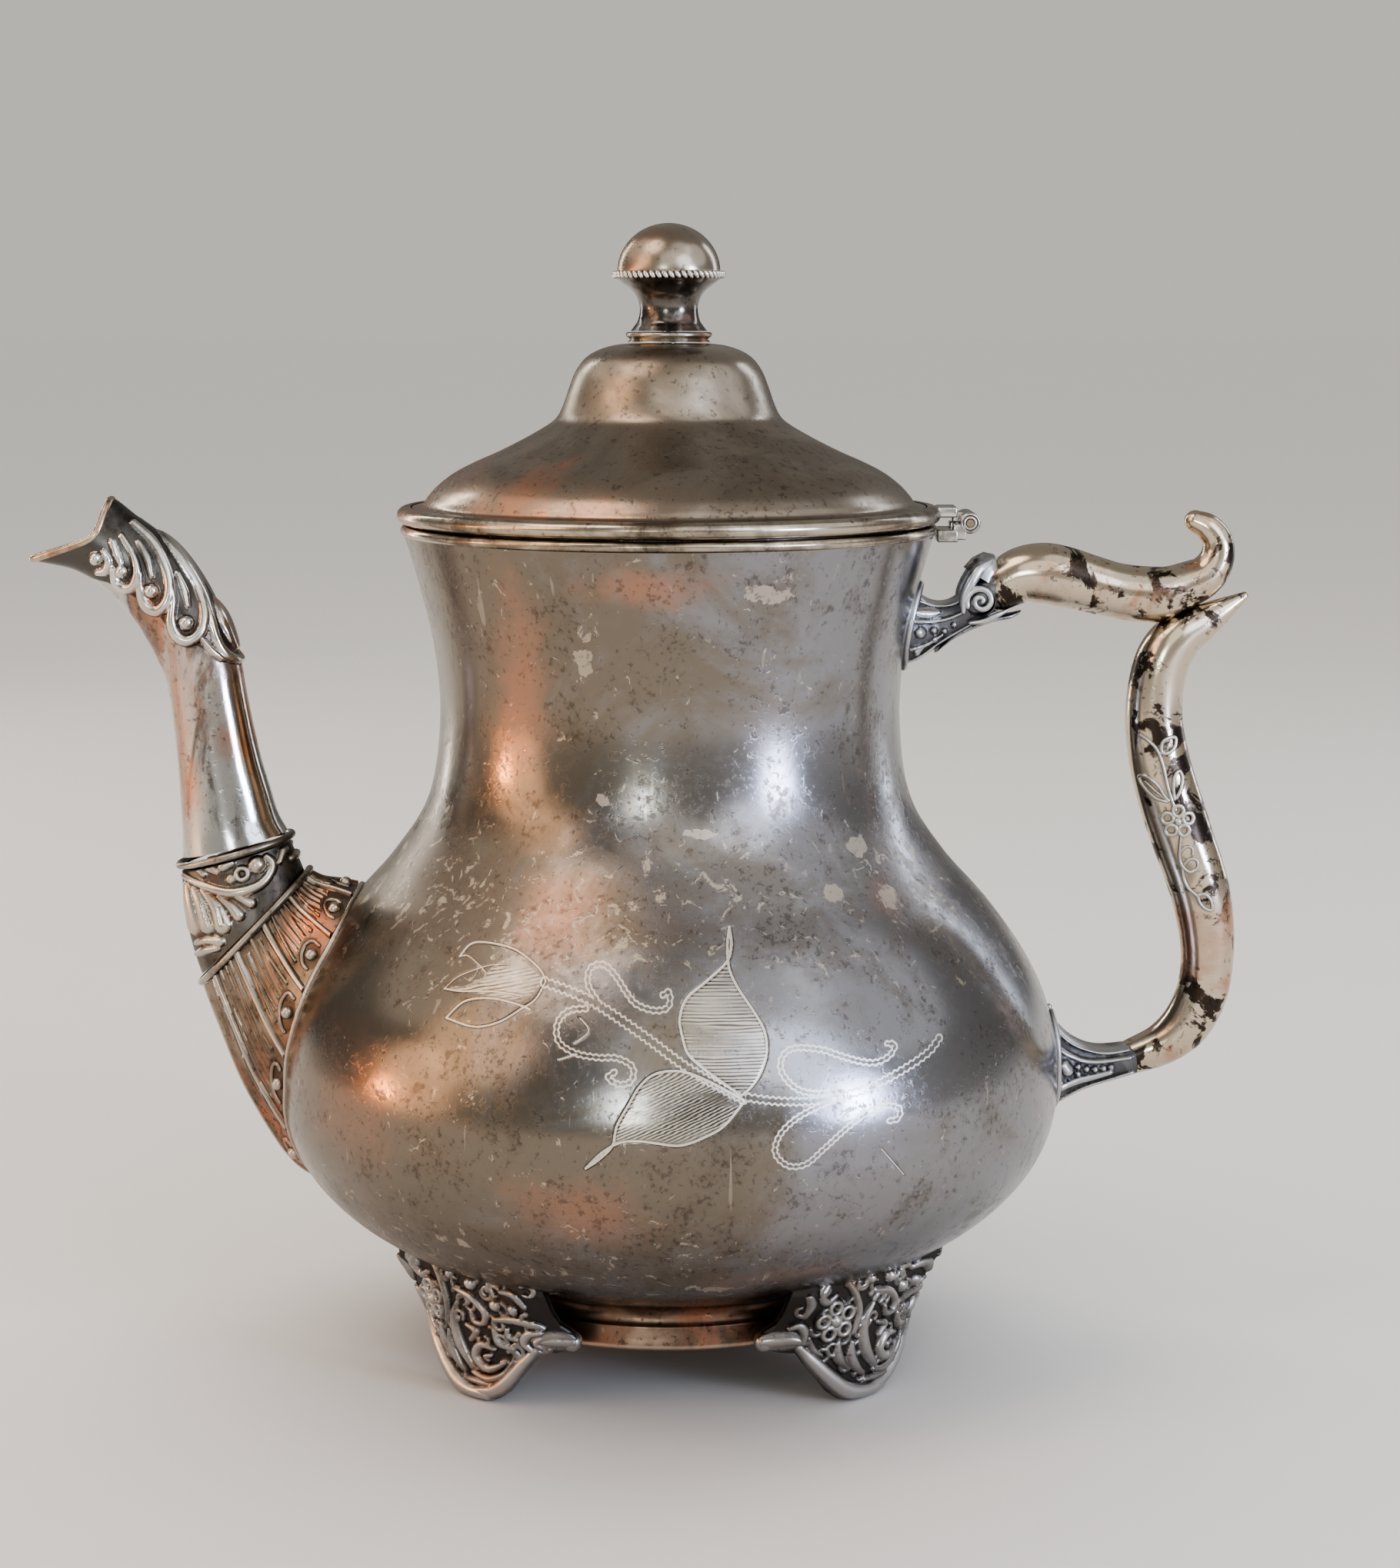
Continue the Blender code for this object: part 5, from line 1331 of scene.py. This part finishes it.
FOOT_DISTANCE = 57.0
FOOT_LEAN = 0.14
FOOT_BEND = 30.0
FOOT_THICKNESS = 3.6
FOOT_REACH = 26.0
FOOT_FLARE = 3.4
FOOT_LOWER = [(0.0, 0.0), (4.6, 0.1), (6.6, 0.9), (9.0, 2.5), (12.6, 6.4), (15.8, 9.8), (17.6, 12.0),
              (21.2, 12.4), (24.6, 13.2), (26.0, 14.6)]
FOOT_UPPER = [(0.0, 40.0), (16.0, 40.0), (19.0, 36.0), (20.8, 27.0), (21.6, 22.0), (22.6, 19.4), (24.8, 17.6),
              (26.0, 15.8)]

FOOT_STROKES = [
    # rolled lip round the bottom
    (2.0, [(-17.2, 13.6, 0.8), (-13.9, 10.2, 1.3), (-9.8, 6.2, 1.5), (-5.6, 2.9, 1.6), (-0.9, 1.5, 1.5),
           (4.6, 1.6, 1.3)]),
    (1.8, [(-1.0, 1.7, 0.9), (5.6, 2.6, 1.3), (10.0, 5.4, 1.4), (13.4, 9.2, 1.2), (16.8, 12.8, 0.8)]),
    (1.3, [(5.8, 4.0, 0.5), (3.4, 4.1, 0.7), (-1.2, 4.2, 0.6)]),
    # flower with five petals
    (2.2, [(-10.2, 18.8, 1.25)]),
    *[(1.5, circle(-10.2 + 2.9 * math.cos(math.radians(100 + 72 * k)),
                   18.8 + 2.9 * math.sin(math.radians(100 + 72 * k)), 1.3, 0.6, 10)) for k in range(5)],
    # hooks and scrolls round the flower
    (1.3, [(-13.4, 27.4, 0.6), (-14.4, 25.0, 0.8), (-12.9, 23.4, 0.8), (-11.0, 24.4, 0.6)]),
    (1.3, [(-8.5, 27.0, 0.6), (-5.8, 23.4, 0.8), (-4.6, 19.4, 0.8), (-5.4, 15.4, 0.6)]),
    (1.5, [(-19.8, 18.4, 0.6), (-18.2, 18.9, 0.8), (-16.8, 17.4, 0.9), (-16.6, 14.8, 0.7)]),
    (1.2, [(-15.6, 15.6, 0.5), (-14.4, 13.0, 0.8), (-12.4, 11.6, 0.5)]),
    # leaf lobes below the flower
    (1.5, [(-0.9, 20.6, 0.5), (-2.8, 16.8, 1.0), (-2.0, 11.8, 1.3), (1.4, 7.2, 0.8)]),
    (1.4, [(-5.4, 13.2, 0.5), (-5.0, 9.4, 1.2), (-2.0, 6.0, 0.6)]),
    (1.3, [(-8.8, 13.6, 0.5), (-8.4, 10.6, 1.1), (-6.0, 7.8, 0.5)]),
    # scrolls on the other half
    (1.4, [(-0.9, 23.6, 0.6), (3.4, 22.6, 0.8), (6.4, 20.0, 0.8), (6.0, 17.6, 0.7), (3.6, 17.4, 0.6),
           (2.9, 19.2, 0.5)]),
    (1.6, [(9.8, 9.4, 0.5), (5.6, 7.6, 0.9), (2.8, 9.8, 1.0), (4.6, 12.6, 0.9), (7.8, 12.2, 0.5)]),
    (1.2, [(6.6, 10.6, 0.5), (5.4, 10.2, 0.6), (5.9, 9.4, 0.4)]),
    (1.3, [(1.4, 5.9, 0.5), (5.2, 5.2, 0.8), (9.2, 6.9, 0.7), (11.6, 9.8, 0.5)]),
    (1.3, [(1.2, 16.2, 0.5), (3.6, 15.2, 0.8), (2.0, 13.2, 0.6)]),
    (1.4, [(8.3, 16.2, 0.6), (9.2, 13.8, 0.9), (12.4, 12.9, 0.6)]),
    (1.2, [(11.4, 17.0, 0.5), (11.5, 15.5, 0.7), (13.4, 15.0, 0.5)]),
    (1.6, [(16.4, 12.8, 0.6), (14.8, 14.5, 0.9), (16.0, 16.6, 0.9), (18.6, 17.2, 0.6)]),
    (1.4, [(18.2, 13.8, 0.5), (17.3, 14.7, 0.7), (18.4, 15.8, 0.5)]),
    (1.2, [(8.6, 18.6, 0.6), (13.0, 19.3, 0.8), (17.6, 19.0, 0.8), (19.4, 18.4, 0.5)]),
    # knobs and leaf tips along the top
    (1.9, [(3.6, 25.6, 1.2)]), (1.6, [(-2.3, 26.4, 1.0)]), (1.7, [(9.2, 21.9, 1.2)]),
    (1.6, [(13.6, 21.8, 1.1)]),
    (1.4, [(16.6, 23.4, 0.6), (14.6, 25.6, 0.9), (11.4, 25.4, 0.6)]),
    (1.3, [(-17.4, 21.2, 0.6), (-16.6, 23.6, 0.9), (-17.6, 26.0, 0.6)]),
    (1.3, [(7.8, 24.8, 0.5), (8.6, 27.2, 0.8)]), (1.2, [(-5.0, 30.0, 0.6), (-3.0, 28.4, 0.8)]),
    # curled arms
    (1.4, [(-15.8, 14.6, 0.6), (-19.2, 15.4, 1.0), (-22.6, 15.2, 1.1), (-24.8, 15.0, 1.0)]),
    (1.4, [(18.6, 15.0, 0.6), (21.0, 15.2, 1.0), (24.6, 15.0, 1.0)]),
    (1.0, [(-17.6, 15.2, 1.4), (-21.0, 15.4, 1.9), (-24.4, 15.1, 1.7)]),
    (1.0, [(17.6, 15.2, 1.4), (21.0, 15.4, 1.9), (24.4, 15.1, 1.7)]),
]


def scattered_curls(count, seed):
    """Small low curls that fill the ground between the main strokes."""
    random = np.random.default_rng(seed)
    curls = []
    for _ in range(count):
        a, z = random.uniform(-19, 19), random.uniform(3, 32)
        start, turns = random.uniform(0, 360), random.choice([-0.7, 0.7])
        curls.append((random.uniform(0.5, 0.8), spiral(a, z, 1.6, 0.8, start, turns, 0.7, 0.5, 8)))
    return curls


FOOT_ORNAMENT = [(0.8 * height, keys) for height, keys in widened(FOOT_STROKES, 1.3)] + scattered_curls(70, 4)


def foot_point(a, z, out):
    """Points of a foot at azimuth zero, at a distance along its bend, a height and a distance outwards."""
    turn = a / FOOT_BEND
    out = out + FOOT_FLARE * (np.clip((np.abs(a) - 8) / 9, 0, 1) * np.clip((z - 12) / 11, 0, 1.3)) ** 1.5
    distance = FOOT_DISTANCE + FOOT_LEAN * (z - 6) - FOOT_BEND * (1 - np.cos(turn)) + out * np.cos(turn)
    return np.stack(np.broadcast_arrays(distance, (FOOT_BEND + out) * np.sin(turn), z), axis=-1)


def foot_top(across, depth):
    """Height at which one face of a foot meets the bulb's underside."""
    height = np.linspace(16, 40, 240)[:, None]
    points = foot_point(across[None], height, -depth)
    under = BODY_OUTLINE[BODY_OUTLINE[:, 1] < 57][::-1]
    radius = np.hypot(points[..., 0], points[..., 1])
    buried = height > np.interp(radius, under[:, 0], under[:, 1])
    return np.where(buried.any(axis=0), height[buried.argmax(axis=0), 0], 40.0) + 0.4


def foot(name, azimuth):
    """A cast foot: a shield with two curled arms, bent across and soldered under the bulb."""
    across = np.linspace(-FOOT_REACH, FOOT_REACH, 290)
    low = np.interp(np.abs(across), *np.array(FOOT_LOWER).T)
    high = np.interp(np.abs(across), *np.array(FOOT_UPPER).T)
    share = np.linspace(0, 1, 150)[:, None]

    def face(depth):
        top = np.minimum(high, foot_top(across, depth))
        z = low + (top - low) * share
        a = across + 0 * z
        edge = np.minimum(z - low, FOOT_REACH - np.abs(a))
        edge = np.where(top < high, edge, np.minimum(edge, high - z))
        eased = 1.2 * (1 - np.sqrt(1 - (1 - np.clip(edge / 1.4, 0, 1)) ** 2))
        return a, z, eased

    a, z, eased = face(0.0)
    raised = carve(a, z, FOOT_ORNAMENT)[0]
    front = foot_point(a, z, raised - eased)
    # painted shade: the ground between the raised strokes is darkened, and the back and the sides a little
    tone = np.where(raised > 0.5, np.clip(raised - 0.4, 0, 1), raised * 0.6 - 0.5)
    a, z, eased = face(FOOT_THICKNESS)
    back = foot_point(a, z, eased - FOOT_THICKNESS)
    shape = Shape()
    shape.add(np.concatenate([front, back[::-1]]), wrap_rows=True, wrap_columns=False,
              relief=np.concatenate([tone, np.full(tone.shape, -0.2)]))
    for column in (0, -1):
        shape.add(np.stack([front[:, column], back[:, column]], axis=1), wrap_columns=False, relief=-0.2)
    for side in (-1, 1):
        centre = foot_point(np.array(side * 24.4), np.array(15.1), np.array(-1.1))
        shape.add(ball(centre, 2.1, 14, 24), relief=0.7)
    turn = math.radians(azimuth)
    spin = np.array([[math.cos(turn), math.sin(turn), 0], [-math.sin(turn), math.cos(turn), 0], [0, 0, 1]])
    shape.points = [part @ spin for part in shape.points]
    shape.make(name + "_fine", FOOT_METAL, "pewter_casting")


for name, azimuth in {"foot_back_right": 45, "foot_back_left": 135, "foot_front_left": 225,
                      "foot_front_right": 315}.items():
    foot(name, azimuth)


# ---------------------------------------------------------------- hinge

HINGE_X = 62.0
HINGE_Z = 175.4
KNUCKLE_RADIUS = 2.2
INNER_KNUCKLE = 2.2
OUTER_KNUCKLE = 6.6


def knuckle(shape, start, end):
    """A rolled knuckle along Y with eased ends, each with a ring round the pin's hole."""
    half = (end - start) / 2
    middle = (start + end) / 2
    outline = [(0.75, half - 0.3), (0.95, half), (1.25, half), (1.4, half - 0.12), (1.6, half - 0.12),
               (1.75, half), (1.95, half - 0.05), (KNUCKLE_RADIUS, half - 0.35)]
    outline = outline + [(radius, -length) for radius, length in reversed(outline)]
    radius, length = np.array(outline).T
    turn = full_turn(36)
    along = np.repeat(middle + length[:, None], len(turn), axis=1)
    grid = np.stack([HINGE_X + np.outer(radius, np.cos(turn)), along,
                     HINGE_Z + np.outer(radius, np.sin(turn))], axis=-1)
    # painted shade: the pin's hole and the groove in each ring are darkened
    tone = np.where(radius < 0.9, -0.9, np.where((radius > 1.35) & (radius < 1.65), -0.5, 0.3))
    shape.add(grid, wrap_rows=True, relief=np.repeat(tone[:, None], len(turn), axis=1))


def soft_block(shape, low, high):
    """A block with rounded edges."""
    corner = 0.5
    low, high = np.asarray(low, float), np.asarray(high, float)
    centre, half = (low + high) / 2, (high - low) / 2
    polar = np.linspace(-math.pi / 2, math.pi / 2, 17)[:, None]
    turn = full_turn(48) + math.pi / 48
    unit = np.stack([np.cos(polar) * np.cos(turn), np.cos(polar) * np.sin(turn), np.sin(polar) + 0 * turn],
                    axis=-1)
    corner_at = np.sign(unit) * (half - corner)
    shape.add(centre + corner_at * (np.abs(unit) > 1e-6) + corner * unit, relief=0.2)


lid_leaf = Shape()
soft_block(lid_leaf, (55.4, -4.6, 176.4), (59.6, 4.6, 178.6))
soft_block(lid_leaf, (58.6, -2.1, 175.2), (61.6, 2.1, 177.5))
knuckle(lid_leaf, -INNER_KNUCKLE, INNER_KNUCKLE)
lid_leaf.make("hinge_lid_leaf_fine", BRIGHT_METAL, "bright_plate", "lid", sharp=40)
body_leaf = Shape()
soft_block(body_leaf, (55.2, -OUTER_KNUCKLE, 171.4), (59.6, OUTER_KNUCKLE, 174.0))
for side in (-1, 1):
    start, end = sorted((side * (INNER_KNUCKLE + 0.15), side * OUTER_KNUCKLE))
    soft_block(body_leaf, (58.4, start + 0.1, 171.9), (61.4, end - 0.1, 175.2))
    knuckle(body_leaf, start, end)
body_leaf.make("hinge_body_leaf_fine", BRIGHT_METAL, "bright_plate", sharp=40)

for node, material in {"hinge_pin": CASTING_METAL, "strainer_plate": BRIGHT_METAL,
                       "finial_stud": BRIGHT_METAL, "finial_washer": BRIGHT_METAL,
                       "finial_nut": BRIGHT_METAL}.items():
    solid = bpy.data.objects[node]
    solid.data.materials.clear()
    solid.data.materials.append(material)


# ---------------------------------------------------------------- camera, lights, floor

def aim(thing, target):
    """Turn a light so that it shines at a point."""
    thing.rotation_euler = (Vector(target) - thing.location).to_track_quat("-Z", "Y").to_euler()


# the camera stands in front of the pot, a little towards the handle, and looks slightly down
CAMERA_ACROSS = 6.4
CAMERA_DISTANCE = 0.640
CAMERA_HEIGHT = 0.2175
CAMERA_DIP = 8.65

camera = bpy.data.objects.new("camera", bpy.data.cameras.new("camera"))
camera.data.sensor_width = 36
camera.data.lens = 70.6
camera.location = ((AXIS_X + CAMERA_ACROSS) * MM, -CAMERA_DISTANCE, CAMERA_HEIGHT)
camera.rotation_euler = (math.radians(90 - CAMERA_DIP), 0, 0)
camera.data.clip_start = 0.01
bpy.context.scene.collection.objects.link(camera)
bpy.context.scene.camera = camera


# point that the area lights shine at, half way up the pot
LIT_POINT = (0, 0, 0.11)


def soft_light(name, azimuth, elevation, distance, size, power, colour):
    """An area light; azimuth 0 is in front of the pot and 90 on its handle side."""
    data = bpy.data.lights.new(name, "AREA")
    data.shape = "DISK"
    data.size = size
    data.energy = power
    data.color = colour
    light = bpy.data.objects.new(name, data)
    turn, lift = math.radians(azimuth), math.radians(elevation)
    light.location = Vector(LIT_POINT) + distance * Vector(
        (math.sin(turn) * math.cos(lift), -math.cos(turn) * math.cos(lift), math.sin(lift)))
    bpy.context.scene.collection.objects.link(light)
    aim(light, LIT_POINT)
    return light


def strip_light(name, azimuth, elevation, distance, width, height, power, colour):
    """A tall narrow area light, which draws a line down the edge of round metal."""
    light = soft_light(name, azimuth, elevation, distance, width, power, colour)
    light.data.shape = "RECTANGLE"
    light.data.size = width
    light.data.size_y = height


# a cool window on the handle side, one in front, a warm lamp on the spout side, and pale walls and ceiling
soft_light("window", 53, 7, 1.5, 0.44, 9.5, (0.60, 0.69, 1.0))
soft_light("window_core", 53, 7, 1.45, 0.055, 2.0, (0.84, 0.90, 1.0))
soft_light("window_high", 38, 27, 1.4, 0.8, 5.0, (0.76, 0.84, 1.0))
soft_light("front_window", -12, 12, 1.6, 0.36, 2.4, (0.86, 0.95, 1.0))
soft_light("front_core", -9, 10, 1.55, 0.045, 0.8, (0.92, 0.98, 1.0))
soft_light("lamp", -86, 1, 1.3, 0.06, 1.6, (1.0, 0.40, 0.14))
soft_light("lamp_glow", -76, 7, 1.35, 0.60, 2.4, (1.0, 0.60, 0.38))
soft_light("lamp_high", -62, 27, 1.4, 0.8, 3.7, (1.0, 0.66, 0.44))
soft_light("ceiling", -58, 60, 1.4, 0.8, 5.0, (1.0, 0.84, 0.74))
soft_light("high_arch", 42, 56, 1.5, 1.0, 1.7, (0.96, 0.97, 1.0))
soft_light("right_wall", 78, 38, 1.5, 1.2, 2.4, (0.92, 0.94, 1.0))
soft_light("left_wall", -100, 42, 1.5, 1.1, 2.2, (1.0, 0.88, 0.79))
soft_light("front_high", 2, 36, 1.6, 1.1, 2.9, (1.0, 0.96, 0.90))
strip_light("left_strip", -138, 16, 1.2, 0.05, 0.9, 2.6, (1.0, 0.96, 0.9))
strip_light("right_strip", 128, 18, 1.2, 0.16, 0.9, 2.2, (0.82, 0.88, 1.0))

# soft light from above and behind, which the metal doesn't mirror
sun = bpy.data.lights.new("sky", "SUN")
sun.energy = 2.2
sun.angle = math.radians(75)
sun.color = (1.0, 0.985, 0.96)
sky = bpy.data.objects.new("sky", sun)
sky.location = (0.1, 0.9, 1.3)
sky.visible_glossy = False
bpy.context.scene.collection.objects.link(sky)
aim(sky, (0, 0, 0.1))

FLOOR_COLOUR = (0.60, 0.585, 0.56)
builder = bmesh.new()
bmesh.ops.create_circle(builder, cap_ends=True, segments=96, radius=30)
floor_mesh = bpy.data.meshes.new("floor")
builder.to_mesh(floor_mesh)
builder.free()
floor = bpy.data.objects.new("floor", floor_mesh)
bpy.context.scene.collection.objects.link(floor)
floor_material = bpy.data.materials.new("pale_floor")
floor_material.use_nodes = True
floor_tree = floor_material.node_tree
floor_shader = floor_tree.nodes["Principled BSDF"]
floor_place = add_node(floor_tree, "ShaderNodeTexCoord").outputs["Object"]
grain = noise(floor_tree, floor_place, 60.0, 6.0, 0.6)
tint = mix(floor_tree, grain, tuple(0.985 * c for c in FLOOR_COLOUR), tuple(1.015 * c for c in FLOOR_COLOUR))
floor_tree.links.new(tint, floor_shader.inputs["Base Color"])
floor_shader.inputs["Roughness"].default_value = 0.85
floor_shader.inputs["Specular IOR Level"].default_value = 0.2
floor_mesh.materials.append(floor_material)

# The backdrop has the floor's brightness where the camera looks straight at it. What the metal mirrors is a
# darker room, paler in front of the pot than behind it.
BACKDROP = (0.520, 0.498, 0.461)
ROOM_IN_FRONT = (0.50, 0.485, 0.46)
ROOM_BEHIND = (0.16, 0.15, 0.14)
ROOM_ABOVE = (0.31, 0.30, 0.285)
world = bpy.data.worlds.new("studio")
world.use_nodes = True
tree = world.node_tree
background = tree.nodes["Background"]
direction = add_node(tree, "ShaderNodeTexCoord").outputs["Generated"]
parts = add_node(tree, "ShaderNodeSeparateXYZ", {"Vector": direction})
behind = ramp(tree, parts.outputs["Y"], -0.3, 0.8)
room = mix(tree, behind, ROOM_IN_FRONT, ROOM_BEHIND)
high = ramp(tree, parts.outputs["Z"], -0.05, 0.55)
room = mix(tree, high, room, ROOM_ABOVE)
seen = add_node(tree, "ShaderNodeLightPath").outputs["Is Camera Ray"]
tree.links.new(mix(tree, seen, room, BACKDROP), background.inputs["Color"])
background.inputs["Strength"].default_value = 1.0
bpy.context.scene.world = world
bpy.context.scene.view_settings.look = "AgX - Medium High Contrast"
